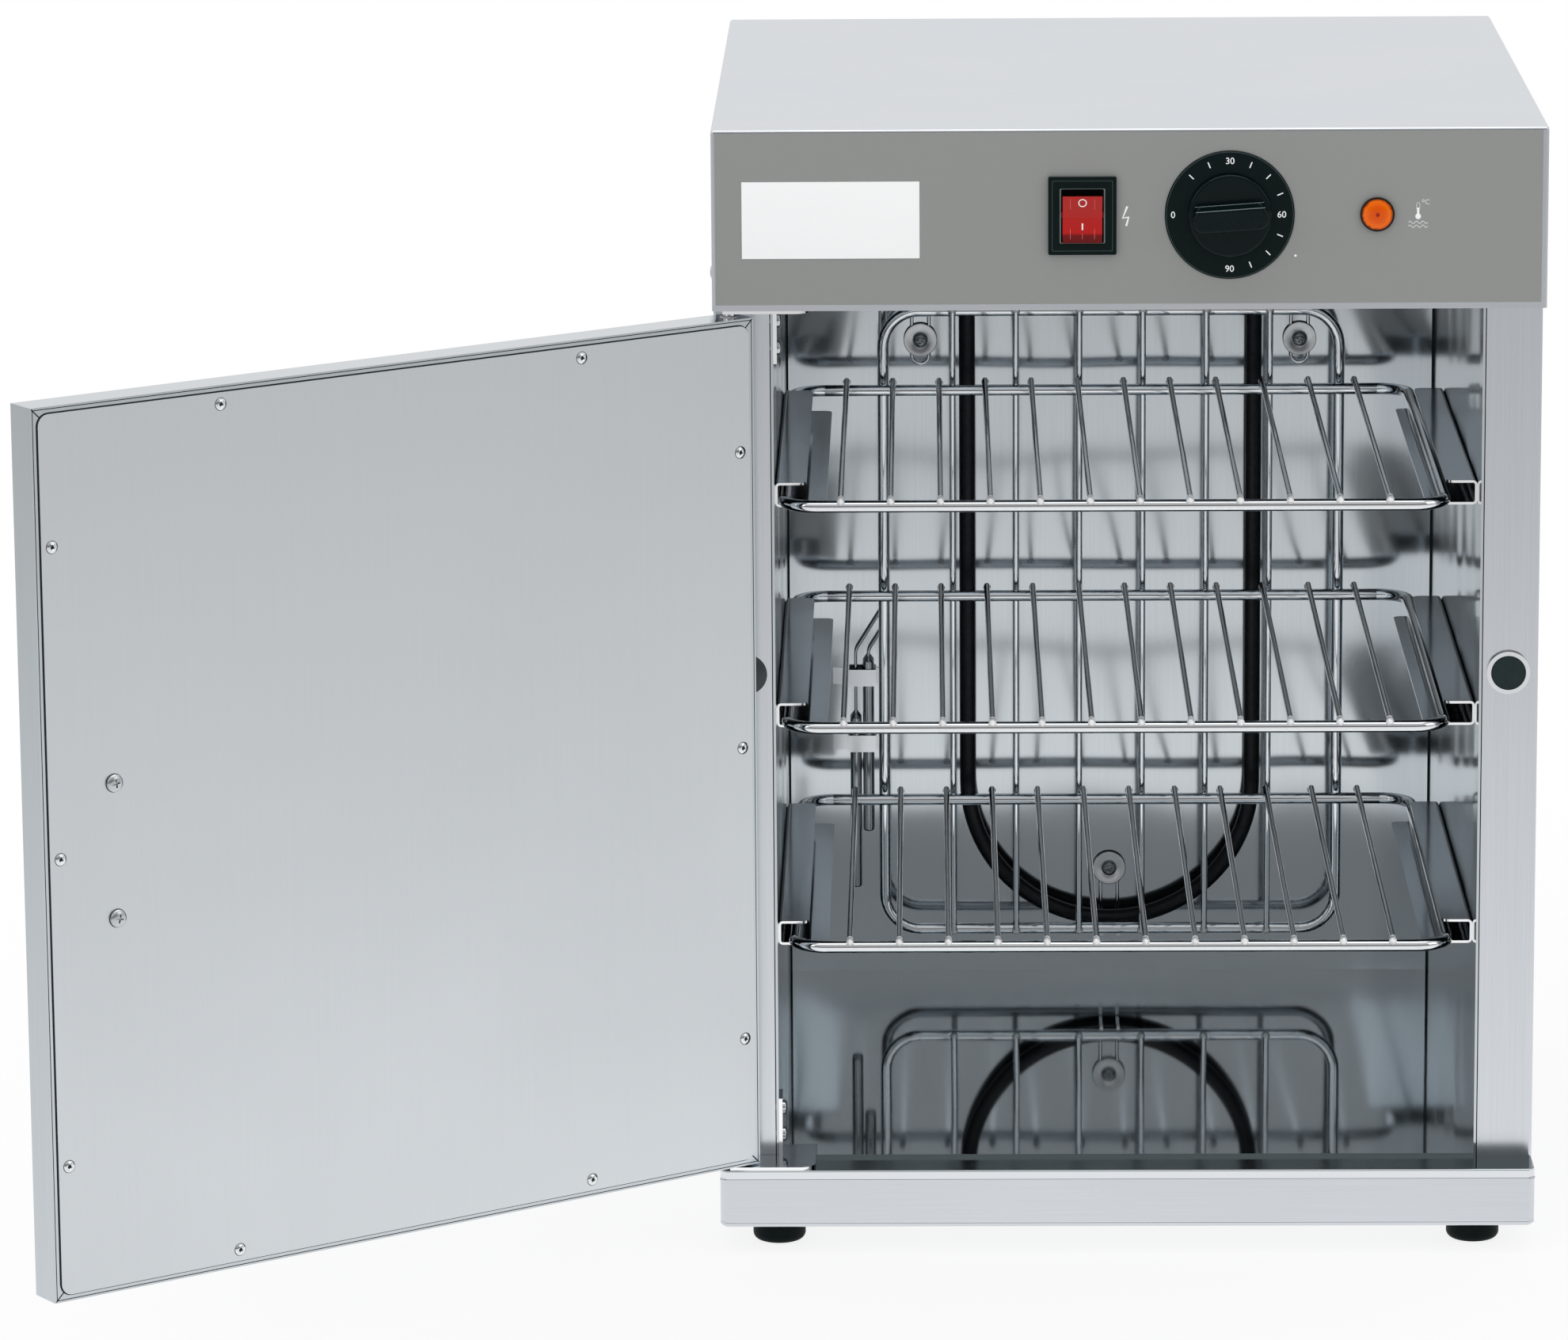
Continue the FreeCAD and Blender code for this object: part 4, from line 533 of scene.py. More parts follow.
class MeshMaker:
    """Makes the meshes of the fine pieces."""

    CAPITAL_SHARE = 0.73
    INK_SWELL = 0.010
    LUMPS_PER_RADIUS = 0.9
    LUMP_SHARE = 0.18

    @staticmethod
    def arc(middle: Place, radius: float, start: float, end: float, steps: int) -> list[Place]:
        """Gives points along a circle.

        Args:
            middle: Its middle in the plane.
            radius: Its radius.
            start: Turn of the first point in radians.
            end: Turn of the last point.
            steps: Straight parts between them.

        Returns:
            The points in order.
        """
        turns = (start + (end - start) * step / steps for step in range(steps + 1))
        return [(middle[0] + radius * math.cos(turn), middle[1] + radius * math.sin(turn))
                for turn in turns]

    @staticmethod
    def turned(profile: Profile, steps: int = 40) -> Mesh:
        """Turns a profile about +Z.

        Args:
            profile: Radius and height of each corner, in metres, from the foot to the top.
            steps: Sides of the round.

        Returns:
            A new mesh.
        """
        mesh = bmesh.new()
        rings = []
        for radius, height in profile:
            corners = MeshMaker.arc((0.0, 0.0), radius, 0.0, math.tau, steps)[:-1]
            rings.append([mesh.verts.new((x, y, height))
                          for x, y in (corners if radius else [(0.0, 0.0)])])
        for low, high in zip(rings, rings[1:]):
            for step in range(steps):
                following = (step + 1) % steps
                corners = [low[step % len(low)], low[following % len(low)],
                           high[following % len(high)], high[step % len(high)]]
                unique = list(dict.fromkeys(corners))
                if len(unique) > 2:
                    mesh.faces.new(unique)
        return MeshMaker.done(mesh)

    @staticmethod
    def disc(radius: float, thickness: float, steps: int) -> Mesh:
        """Makes a round plate on the plane with this many sides."""
        return MeshMaker.turned([(0.0, 0.0), (radius, 0.0), (radius, thickness),
                                 (0.0, thickness)], steps)

    @staticmethod
    def done(mesh: bmesh.types.BMesh) -> Mesh:
        """Turns the faces outwards and ends the work on a mesh.

        Args:
            mesh: Mesh in work, which is freed.

        Returns:
            The finished mesh.
        """
        bmesh.ops.recalc_face_normals(mesh, faces=mesh.faces)
        result = bpy.data.meshes.new("part")
        mesh.to_mesh(result)
        mesh.free()
        return result

    @staticmethod
    def slab(outline: Profile, low: float, high: float, edge: float = 0.0) -> Mesh:
        """Makes a flat piece from its outline.

        Args:
            outline: Corners in the plane, in metres.
            low: Height of its underside.
            high: Height of its face.
            edge: Width of the rounded rim of the face.

        Returns:
            A new mesh.
        """
        mesh = bmesh.new()
        floor = mesh.faces.new([mesh.verts.new((x, y, low)) for x, y in outline])
        made = bmesh.ops.extrude_face_region(mesh, geom=[floor])["geom"]
        lifted = [item for item in made if isinstance(item, bmesh.types.BMVert)]
        bmesh.ops.translate(mesh, verts=lifted, vec=(0, 0, high - low))
        if edge:
            rim = [e for e in mesh.edges if all(v.co.z > high - TOUCH for v in e.verts)]
            bmesh.ops.bevel(mesh, geom=rim, offset=edge, segments=3, profile=0.5,
                            affect="EDGES")
        return MeshMaker.done(mesh)

    @staticmethod
    def rounded(wide: float, high: float, radius: float, steps: int = 6) -> Profile:
        """Gives the corners of a rectangle with round corners, centred on the origin.

        Args:
            wide: Half its width, in metres.
            high: Half its height.
            radius: Radius of its corners.
            steps: Straight parts in each round corner.

        Returns:
            The corners in order.
        """
        points = []
        for quarter, (x, y) in enumerate(((1, 1), (-1, 1), (-1, -1), (1, -1))):
            points += MeshMaker.arc((x * (wide - radius), y * (high - radius)), radius,
                                    math.pi / 2 * quarter, math.pi / 2 * (quarter + 1), steps)
        return points

    @staticmethod
    def ring(outer: Profile, inner: Profile, low: float, high: float) -> Mesh:
        """Makes a flat ring between two outlines with the same number of corners.

        Args:
            outer: Outer outline in the plane, in metres.
            inner: Inner outline.
            low: Height of its underside.
            high: Height of its face.

        Returns:
            A new mesh.
        """
        mesh = bmesh.new()
        loops = [[mesh.verts.new((x, y, level)) for x, y in outline]
                 for outline, level in ((inner, low), (inner, high), (outer, high), (outer, low))]
        for first, second in zip(loops, loops[1:] + loops[:1]):
            for step in range(len(first)):
                following = (step + 1) % len(first)
                mesh.faces.new([first[step], first[following], second[following],
                                second[step]])
        return MeshMaker.done(mesh)

    @staticmethod
    def from_curve(curve: bpy.types.Curve) -> Mesh:
        """Turns a curve or a text into a mesh and clears its object away.

        Args:
            curve: Curve or text.

        Returns:
            A new mesh.
        """
        holder = bpy.data.objects.new("curve", curve)
        bpy.context.scene.collection.objects.link(holder)
        bpy.context.view_layer.update()
        graph = bpy.context.evaluated_depsgraph_get()
        mesh = bpy.data.meshes.new_from_object(holder.evaluated_get(graph))
        bpy.data.objects.remove(holder)
        return mesh

    @staticmethod
    def stroke(points: Profile, width: float, thickness: float,
               closed: bool = False) -> Mesh:
        """Makes a printed line with round ends.

        Args:
            points: Corners of the line in the plane, in metres.
            width: Width of the line.
            thickness: Height of the ink.
            closed: Whether the line runs back to its start.

        Returns:
            A new mesh.
        """
        curve = bpy.data.curves.new("stroke", "CURVE")
        curve.dimensions = "3D"
        curve.bevel_depth = width / 2
        curve.bevel_resolution = 2
        curve.use_fill_caps = True
        spline = curve.splines.new("POLY")
        spline.points.add(len(points) - 1)
        for point, (x, y) in zip(spline.points, points):
            point.co = (x, y, 0, 1)
        spline.use_cyclic_u = closed
        mesh = MeshMaker.from_curve(curve)
        mesh.transform(Matrix.Diagonal((1, 1, 2 * thickness / width, 1)))
        return mesh

    @staticmethod
    def word(text: str, height: float, thickness: float) -> Mesh:
        """Makes a printed number or letter, centred on the origin.

        Args:
            text: What is printed.
            height: Height of its capitals, in metres.
            thickness: Height of the ink.

        Returns:
            A new mesh.
        """
        curve = bpy.data.curves.new("word", "FONT")
        curve.body = text
        curve.size = height / MeshMaker.CAPITAL_SHARE
        curve.align_x = "CENTER"
        curve.align_y = "CENTER"
        curve.extrude = thickness / 2
        curve.offset = height * MeshMaker.INK_SWELL
        return MeshMaker.from_curve(curve)

    @staticmethod
    def bead(radius: float, seed: float, place: Point,
             shape: Point) -> tuple[Mesh, Matrix]:
        """Makes an uneven drop of weld metal.

        Args:
            radius: Rough radius in metres.
            seed: Number that makes one bead differ from the next.
            place: Its middle in metres.
            shape: Its stretch along X, Y and Z.

        Returns:
            A new mesh around the origin, and the matrix that puts it in place.
        """
        mesh = bmesh.new()
        bmesh.ops.create_icosphere(mesh, subdivisions=3, radius=radius)
        for vertex in mesh.verts:
            spot = vertex.co / radius * MeshMaker.LUMPS_PER_RADIUS
            vertex.co *= 1 + MeshMaker.LUMP_SHARE * noise.noise(spot + Vector((seed, seed * 2, 0)))
        return MeshMaker.done(mesh), Matrix.Translation(place) @ Matrix.Diagonal((*shape, 1))

    @staticmethod
    def joined(parts: Iterable[tuple[Mesh, Matrix]]) -> Mesh:
        """Joins meshes, each at its own place, into one.

        Args:
            parts: Meshes with their places.

        Returns:
            A new mesh.
        """
        total = bmesh.new()
        for mesh, place in parts:
            copy = mesh.copy()
            copy.transform(place)
            total.from_mesh(copy)
            bpy.data.meshes.remove(copy)
        return MeshMaker.done(total)

    @staticmethod
    def carved(blank: Mesh, cutter: Mesh) -> Mesh:
        """Cuts one closed mesh out of another.

        Args:
            blank: Mesh that is cut.
            cutter: Mesh that is taken away.

        Returns:
            A new mesh.
        """
        body = bpy.data.objects.new("blank", blank)
        tool = bpy.data.objects.new("cutter", cutter)
        for thing in (body, tool):
            bpy.context.scene.collection.objects.link(thing)
        step = body.modifiers.new("cut", "BOOLEAN")
        step.operation = "DIFFERENCE"
        step.solver = "EXACT"
        step.object = tool
        bpy.context.view_layer.update()
        graph = bpy.context.evaluated_depsgraph_get()
        result = bpy.data.meshes.new_from_object(body.evaluated_get(graph))
        for thing in (body, tool):
            bpy.data.objects.remove(thing)
        return result


@dataclass(frozen=True)
class CrossScrew:
    """A pan-head screw with a cross recess; its seat is at the origin and its head up."""

    head_radius: float
    length: float
    shank_radius: float = 0.0019
    head_height: float = 0.0024
    rim: float = 0.0010
    slot_width: float = 0.00085
    slot_reach: float = 0.0021
    slot_depth: float = 0.0015
    slot_taper: float = 0.55
    dome_power: float = 0.8
    dome_steps: int = 7

    def mesh(self) -> Mesh:
        """Makes the screw.

        Returns:
            A new mesh with its recess cut.
        """
        dome = self.head_height - self.rim
        profile = [(0.0, -self.length), (self.shank_radius, -self.length),
                   (self.shank_radius, 0.0), (self.head_radius, 0.0)]
        for step in range(self.dome_steps):
            turn = math.pi / 2 * step / self.dome_steps
            profile.append((self.head_radius * math.cos(turn) ** self.dome_power,
                            self.rim + dome * math.sin(turn)))
        profile.append((0.0, self.head_height))
        blank = MeshMaker.turned(profile)
        wide, long = self.slot_width / 2, self.slot_reach
        cross = [(wide, wide), (wide, long), (-wide, long), (-wide, wide), (-long, wide),
                 (-long, -wide), (-wide, -wide), (-wide, -long), (wide, -long),
                 (wide, -wide), (long, -wide), (long, wide)]
        cutter = MeshMaker.slab(cross, self.head_height - self.slot_depth,
                                self.head_height + MILLI)
        for vertex in cutter.vertices:
            if vertex.co.z < self.head_height:
                vertex.co.x *= self.slot_taper
                vertex.co.y *= self.slot_taper
        return MeshMaker.carved(blank, cutter)


class Assembly:
    """One sub-assembly, which dresses its solids and adds its fine pieces."""

    def build(self) -> None:
        """Dresses the solids and adds the pieces."""
        raise NotImplementedError

    def dress(self, finish: Finish, *nodes: str) -> None:
        """Gives solids their finish.

        Args:
            finish: Finish of all these solids.
            *nodes: Names of the solids.
        """
        for name in nodes:
            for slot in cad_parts[name].material_slots:
                slot.material = finish.material
            log.info("dressed %s in %s", name, finish.name)

    def place(self, name: str, mesh: Mesh, body: Body, slot: str, finish: Finish,
              at: Matrix = Matrix.Identity(4), smooth: float = 35.0,
              stands_for: Sequence[str] = ()) -> bpy.types.Object:
        """Adds a piece and lets it ride on its body.

        Args:
            name: Name of the piece.
            mesh: Its mesh.
            body: Body that it moves with.
            slot: Not used.
            finish: Its finish.
            at: Its place, which goes into the mesh.
            smooth: Angle in degrees up to which its edges look soft.
            stands_for: Solids that it stands for.

        Returns:
            The new object.
        """
        mesh.transform(at)
        mesh.name = name
        mesh.materials.clear()
        mesh.materials.append(finish.material)
        mesh.shade_smooth()
        mesh.set_sharp_from_angle(angle=math.radians(smooth))
        piece = bpy.data.objects.new(name, mesh)
        bpy.context.scene.collection.objects.link(piece)
        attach(piece, body.value)
        if stands_for:
            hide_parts(*stands_for)
        log.info("placed %s on %s", name, body.value)
        return piece

    def screws(self, name: str, screw: CrossScrew, seats: Iterable[Matrix], body: Body,
               stands_for: str, finish: Finish = SCREW) -> None:
        """Adds a group of screws that stand for the solid ones.

        Args:
            name: Name of the piece.
            screw: Kind of screw.
            seats: Place of each.
            body: Body that they move with.
            stands_for: Solid that they stand for, or nothing.
            finish: Their finish.
        """
        mesh = screw.mesh()
        self.place(name, MeshMaker.joined((mesh, seat) for seat in seats), body, "screw_steel",
                   finish, stands_for=[stands_for] if stands_for else [])


@dataclass(frozen=True)
class PhotoCamera:
    """Camera at the photograph's place and angle."""

    place: Point = (-0.09827, -3.87949, 1.10187)
    turn: float = -0.0186
    dip: float = 0.2160
    roll: float = -0.0075
    lens: float = 178.57
    sensor: float = 36.0

    def build(self) -> None:
        """Adds the camera and makes it the scene's own."""
        across = Vector((math.cos(self.turn), -math.sin(self.turn), 0))
        ahead = Vector((math.sin(self.turn) * math.cos(self.dip),
                        math.cos(self.turn) * math.cos(self.dip), -math.sin(self.dip)))
        above = across.cross(ahead)
        right = across * math.cos(self.roll) + above * math.sin(self.roll)
        top = above * math.cos(self.roll) - across * math.sin(self.roll)
        data = bpy.data.cameras.new("photo_camera")
        data.lens = self.lens
        data.sensor_width = self.sensor
        data.clip_end = 100.0
        camera = bpy.data.objects.new("photo_camera", data)
        turned = Matrix((right, top, -ahead)).transposed().to_4x4()
        camera.matrix_world = Matrix.Translation(self.place) @ turned
        bpy.context.scene.collection.objects.link(camera)
        bpy.context.scene.camera = camera


@dataclass(frozen=True)
class SoftBox:
    """One square studio lamp with an even face."""

    name: str
    place: Point
    width: float
    height: float
    brightness: float
    aim: Point = (0.0, 0.0, 0.3)

    def build(self) -> None:
        """Adds the lamp, out of the camera's sight."""
        data = bpy.data.lights.new(self.name, "AREA")
        data.shape = "RECTANGLE"
        data.size = self.width
        data.size_y = self.height
        data.energy = self.brightness * math.pi * self.width * self.height
        lamp = bpy.data.objects.new(self.name, data)
        way = Vector(self.aim) - Vector(self.place)
        lamp.matrix_world = (Matrix.Translation(self.place)
                             @ way.to_track_quat("-Z", "Y").to_matrix().to_4x4())
        lamp.visible_camera = False
        bpy.context.scene.collection.objects.link(lamp)


@dataclass(frozen=True)
class Studio:
    """Pale floor, white surroundings and soft lamps."""

    floor_reach: float = 14.0
    floor_drop: float = 0.0002
    floor_grey: float = 0.93
    floor_roughness: float = 0.9
    floor_speckle: Point = (40.0, 40.0, 40.0)
    speckle_factor: float = 1.01
    near_share: float = 0.84
    fade_start: float = 0.45
    fade_end: float = 0.95
    mirrored: Profile = ((0.0, 1.0), (0.5, 0.98), (1.0, 0.88), (2.0, 0.72), (3.5, 0.60))
    fill: float = 0.76
    room_front: Profile = ((-0.03, 0.04), (0.07, 0.05), (0.21, 0.27), (0.60, 0.62))
    room_depth: Place = (-0.6, 0.25)
    room_back: float = 0.90
    lamps: tuple[SoftBox, ...] = (
        SoftBox("lamp_above", place=(0.0, -0.3, 2.7), width=2.6, height=2.2, brightness=1.15),
        SoftBox("lamp_left", place=(-2.7, -2.1, 1.7), width=1.6, height=1.8, brightness=0.9),
        SoftBox("lamp_right", place=(2.8, -1.9, 1.5), width=1.6, height=1.8, brightness=0.9),
    )

    def build(self) -> None:
        """Sets the view, and adds the floor, the surroundings and the lamps."""
        bpy.context.scene.view_settings.view_transform = "Standard"
        self.floor()
        self.surroundings()
        for lamp in self.lamps:
            lamp.build()

    def floor(self) -> None:
        """Adds the floor, which keeps the shadow near the cabinet and is white further off."""
        mesh = bpy.data.meshes.new("studio_floor")
        far, low = self.floor_reach, -self.floor_drop
        mesh.from_pydata([(-far, -far, low), (far, -far, low), (far, far, low),
                          (-far, far, low)], [], [(0, 1, 2, 3)])
        floor = bpy.data.objects.new("studio_floor", mesh)
        bpy.context.scene.collection.objects.link(floor)
        graph = ShaderGraph("studio_floor")
        graph.fix(roughness=self.floor_roughness, specular_ior_level=0.0)
        fine = graph.span(graph.noise(self.floor_speckle), 0.0, 1.0)
        grey = (self.floor_grey,) * 3
        graph.feed("Base Color", graph.blend(fine, grey, shade(grey, self.speckle_factor)))
        away = graph.vector("LENGTH", graph.place)["Value"]
        share = graph.span(away, self.near_share, 1.0, self.fade_start, self.fade_end)
        far_edge = self.mirrored[-1][0]
        tone = graph.ramp(graph.span(away, 0.0, 1.0, 0.0, far_edge),
                          [(reach / far_edge, (level,) * 3) for reach, level in self.mirrored])
        plain, mirror = (graph.nodes.new("ShaderNodeEmission") for _ in range(2))
        graph.links.new(tone, mirror.inputs["Color"])
        lit = graph.shader.outputs[0]
        seen = graph.mixed(share, lit, plain.outputs[0])
        result = graph.choose(lit, ("Is Camera Ray", seen), ("Is Transmission Ray", seen),
                              ("Is Glossy Ray", mirror.outputs[0]))
        graph.links.new(result, graph.nodes["Material Output"].inputs["Surface"])
        mesh.materials.append(graph.material)

    def surroundings(self) -> None:
        """Sets the world: an even fill, white behind, and a dim room in front for metal."""
        world = bpy.data.worlds.new("studio_world")
        bpy.context.scene.world = world
        world.use_nodes = True
        graph = NodeGraph(world.node_tree)
        fill = graph.nodes["Background"]
        room, white = (graph.nodes.new("ShaderNodeBackground") for _ in range(2))
        for background in (fill, white):
            background.inputs["Color"].default_value = (1.0, 1.0, 1.0, 1.0)
        fill.inputs["Strength"].default_value = self.fill
        way = graph.split(graph.nodes.new("ShaderNodeTexCoord").outputs["Generated"])
        front = graph.ramp(graph.span(way["Z"], 0.0, 1.0, -1.0, 1.0),
                           [((height + 1) / 2, (level,) * 3)
                            for height, level in self.room_front])
        depth = graph.span(way["Y"], 0.0, 1.0, *self.room_depth)
        both = graph.blend(depth, front, (self.room_back,) * 3)
        graph.links.new(both, room.inputs["Color"])
        result = graph.choose(fill.outputs[0], ("Is Glossy Ray", room.outputs[0]),
                              ("Is Transmission Ray", white.outputs[0]),
                              ("Is Camera Ray", white.outputs[0]))
        graph.links.new(result, graph.nodes["World Output"].inputs["Surface"])


@dataclass(frozen=True)
class Casing(Assembly):
    """Base, side skins, back, header and feet."""

    rear: float = 0.200
    half: float = 0.200
    screw_in: float = 0.192
    back_levels: tuple[float, ...] = (0.0725, 0.2565, 0.4405)
    header_level: float = 0.4797
    header_reach: float = 0.140
    lip_level: float = 0.0378
    fold_level: float = 0.0154
    line_height: float = 0.00018
    line_lift: float = 0.00003
    line_corner: float = 0.0012
    screw: CrossScrew = CrossScrew(head_radius=0.0036, length=0.008)

    def build(self) -> None:
        """Dresses the outer skins and adds the lip joint, painted shade along the base's lower
        fold, and cross-head screws.
        """
        self.dress(SATIN_ACROSS, "base_pan", "header_shell")
        self.dress(SATIN_UPRIGHT, "left_side_panel", "right_side_panel", "back_panel")
        self.dress(LEDGE_PAINTED_SHADE, "base_cover")
        self.dress(RUBBER, "feet")
        self.dress(SCREW, "foot_screws")
        # The lip joint is a dark line where the lip meets the pan; the fold line is painted shade
        # along the lower bend.
        for name, level, finish in (("lip_joint", self.lip_level, SEAM_AND_SHADE),
                                    ("base_fold_painted_shade", self.fold_level, FOLD_PAINTED_SHADE)):
            band = MeshMaker.ring(
                MeshMaker.rounded(self.half + self.line_lift, self.rear + self.line_lift,
                                  self.line_corner),
                MeshMaker.rounded(self.half - self.line_lift, self.rear - self.line_lift,
                                  self.line_corner), level, level + self.line_height)
            self.place(name, band, Body.CABINET, "satin_steel", finish)
        back = [Facing.BACK.at(side * self.screw_in, self.rear, level)
                for side in (-1, 1) for level in self.back_levels]
        sides = [facing.at(side * self.half, depth, self.header_level)
                 for side, facing in ((-1, Facing.LEFT), (1, Facing.RIGHT))
                 for depth in (-self.header_reach, self.header_reach)]
        for name, seats, solid in (("back_screw_heads", back, "back_panel_screws"),
                                   ("header_screw_heads", sides, "header_screws")):
            self.screws(name, self.screw, seats, Body.CABINET, solid)


@dataclass(frozen=True)
class Prints:
    """Lines of the printed marks, in millimetres from the middle of each mark."""

    bolt: Profile = ((0.9, 4.2), (-1.35, -1.4), (1.5, -1.0), (0.4, -5.2))
    bolt_width: float = 1.0
    bulb_level: float = -3.3
    bulb_radius: float = 1.35
    column: Profile = ((0.0, -3.0), (0.0, 0.9))
    column_width: float = 1.1
    tube_half: float = 0.75
    tube_foot: float = 0.2
    tube_top: float = 2.6
    tube_width: float = 0.28
    degree_place: Place = (2.35, 4.2)
    degree_radius: float = 0.55
    degree_width: float = 0.32
    letter_place: Place = (4.4, 3.5)
    letter_height: float = 2.5
    wave_rows: tuple[float, ...] = (-6.2, -8.1)
    wave_start: float = -4.6
    wave_step: float = 0.23
    wave_points: int = 41
    wave_height: float = 0.6
    wave_length: float = 3.07
    wave_width: float = 0.38
    ring_place: Place = (0.0, 6.9)
    ring_radius: float = 1.8
    ring_width: float = 0.5
    bar: Profile = ((0.0, -3.4), (0.0, -6.6))
    bar_width: float = 0.7
    mark_gauge: float = 0.1
    # The rib lines are painted highlights of the rocker's ribs.
    ribs: tuple[Point, ...] = ((-5.8, 3.6, 9.0), (5.8, 3.6, 9.0), (-5.8, -6.0, -11.0),
                               (0.0, -8.2, -11.0), (5.8, -6.0, -11.0))
    rib_width: float = 0.22
    rib_gauge: float = 0.08


@dataclass(frozen=True)
class Controls(Assembly):
    """Overlay with its prints, dial, knob, rocker switch, pilot lamp and blank plate."""

    panel_face: float = -0.2005
    level: float = 0.5164
    ink: float = 0.00004
    prints: Prints = Prints()
    plate_middle: Place = (-0.14285, 0.51455)
    plate_size: Place = (0.0851, 0.0371)
    plate_gauge: float = 0.00035
    plate_edge: float = 0.0001
    dial_x: float = 0.0479
    dial_face: float = -0.2015
    numbers: tuple[tuple[str, float, float], ...] = (
        ("0", 180, 0.0271), ("30", 90, 0.0259), ("60", 0, 0.0248), ("90", -90, 0.0261))
    number_height: float = 0.0032
    tick_turns: tuple[float, ...] = (135, 112.5, 67.5, 45, 22.5, -22.5, -45, -67.5)
    tick_radius: float = 0.0260
    tick_length: float = 0.0030
    tick_width: float = 0.00055
    rim_highlight: Place = (0.0302, 0.0304)
    grip_half: float = 0.0165
    grip_turn: float = 4.0
    grip_highlight_lines: tuple[Point, ...] = ((0.0051, 0.01862, 0.0004), (0.0055, 0.0050, 0.0004))
    rocker_x: float = -0.0225
    switch_face: float = -0.2027
    switch_opening: Place = (0.01065, 0.0130)
    switch_step: Place = (0.0145, 0.0170)
    switch_corner: float = 0.0006
    # Sizes of the painted highlight around the opening and of the one along the frame's step.
    lip_overlap: float = 0.00022
    lip_inset: float = 0.0004
    lip_gauge: float = 0.0002
    step_width: float = 0.0002
    step_gauge: float = 0.00005
    dot_place: Place = (0.0794, 0.4965)
    dot_radius: float = 0.0006
    bolt_place: Place = (-0.0019, 0.5164)
    heat_place: Place = (0.1378, 0.5185)
    probe_start: float = -0.3

    def build(self) -> None:
        """Dresses the controls and adds the plate, the prints and painted highlights along edges.
        """
        self.dress(OVERLAY, "control_panel")
        self.dress(BLACK, "dial_ring", "switch_frame", "switch_body")
        self.dress(KNOB_BLACK, "thermostat_knob")
        self.dress(ROCKER_RED, "rocker")
        self.dress(LAMP_AMBER, "lamp_lens")
        self.dress(BEZEL, "lamp_bezel")
        self.dress(BULB, "thermostat_shaft")
        self.plate()
        self.dial_marks()
        self.symbols()
        self.rocker_marks()
        self.switch_lip_highlight()
        self.grip_edge_highlights()

    def panel(self, x: float, z: float) -> Matrix:
        """Gives a place on the overlay's face."""
        return Facing.FRONT.at(x, self.panel_face, z)

    def plate(self) -> None:
        """Adds the bare plate at the left of the overlay."""
        wide, high = self.plate_size[0] / 2, self.plate_size[1] / 2
        outline = [(-wide, -high), (wide, -high), (wide, high), (-wide, high)]
        plate = MeshMaker.slab(outline, 0.0, self.plate_gauge, self.plate_edge)
        self.place("blank_plate", plate, Body.CABINET, "overlay_grey", PLATE,
                   self.panel(*self.plate_middle))

    def dial_marks(self) -> None:
        """Adds the numbers, the ticks and a painted highlight near the dial's rim."""
        parts = []
        for text, turn, radius in self.numbers:
            angle = math.radians(turn)
            parts.append((MeshMaker.word(text, self.number_height, self.ink),
                          Matrix.Translation((radius * math.cos(angle),
                                              radius * math.sin(angle), self.ink / 2))))
        tick = MeshMaker.stroke([(self.tick_radius - self.tick_length / 2, 0),
                                 (self.tick_radius + self.tick_length / 2, 0)],
                                self.tick_width, self.ink)
        parts += [(tick, Matrix.Rotation(math.radians(turn), 4, "Z")) for turn in self.tick_turns]
        at = Facing.FRONT.at(self.dial_x, self.dial_face, self.level)
        self.place("dial_marks", MeshMaker.joined(parts), Body.CABINET, "black_plastic", INK, at)
        inner, outer = self.rim_highlight
        rim = MeshMaker.turned([(inner, 0.0), (inner, self.ink), (outer, self.ink), (outer, 0.0),
                                (inner, 0.0)], steps=96)
        self.place("dial_rim_highlight", rim, Body.CABINET, "black_plastic", RIM_HIGHLIGHT, at)

    def symbols(self) -> None:
        """Adds the lightning, heat and temperature symbols and the small dot."""
        prints, thick, still = self.prints, self.ink / MILLI, Matrix.Identity(4)
        bolt = MeshMaker.stroke(prints.bolt, prints.bolt_width, thick)
        bolt.transform(Matrix.Scale(MILLI, 4))
        self.place("lightning_mark", bolt, Body.CABINET, "overlay_grey", INK,
                   self.panel(*self.bolt_place))
        self.place("dot_mark", MeshMaker.disc(self.dot_radius, self.ink, steps=20), Body.CABINET,
                   "overlay_grey", INK, self.panel(*self.dot_place))
        solid = [(MeshMaker.disc(prints.bulb_radius, thick, steps=32),
                  Matrix.Translation((0, prints.bulb_level, 0))),
                 (MeshMaker.stroke(prints.column, prints.column_width, thick), still)]
        arch = MeshMaker.arc((0.0, prints.tube_top), prints.tube_half, 0.0, math.pi, steps=10)
        tube = [(prints.tube_half, prints.tube_foot), *arch,
                (-prints.tube_half, prints.tube_foot)]
        degree = MeshMaker.arc(prints.degree_place, prints.degree_radius, 0.0, math.tau,
                               steps=16)[:-1]
        pale = [(MeshMaker.stroke(tube, prints.tube_width, thick), still),
                (MeshMaker.stroke(degree, prints.degree_width, thick, True), still),
                (MeshMaker.word("C", prints.letter_height, thick),
                 Matrix.Translation((*prints.letter_place, 0)))]
        for row in prints.wave_rows:
            along = [prints.wave_step * step for step in range(prints.wave_points)]
            wave = [(prints.wave_start + way, row + prints.wave_height
                     * math.sin(math.tau * way / prints.wave_length)) for way in along]
            pale.append((MeshMaker.stroke(wave, prints.wave_width, thick), still))
        for name, parts, finish in (("heat_marks", solid, INK), ("heat_outline", pale, PALE_INK)):
            mesh = MeshMaker.joined(parts)
            mesh.transform(Matrix.Scale(MILLI, 4))
            self.place(name, mesh, Body.CABINET, "overlay_grey", finish,
                       self.panel(*self.heat_place))

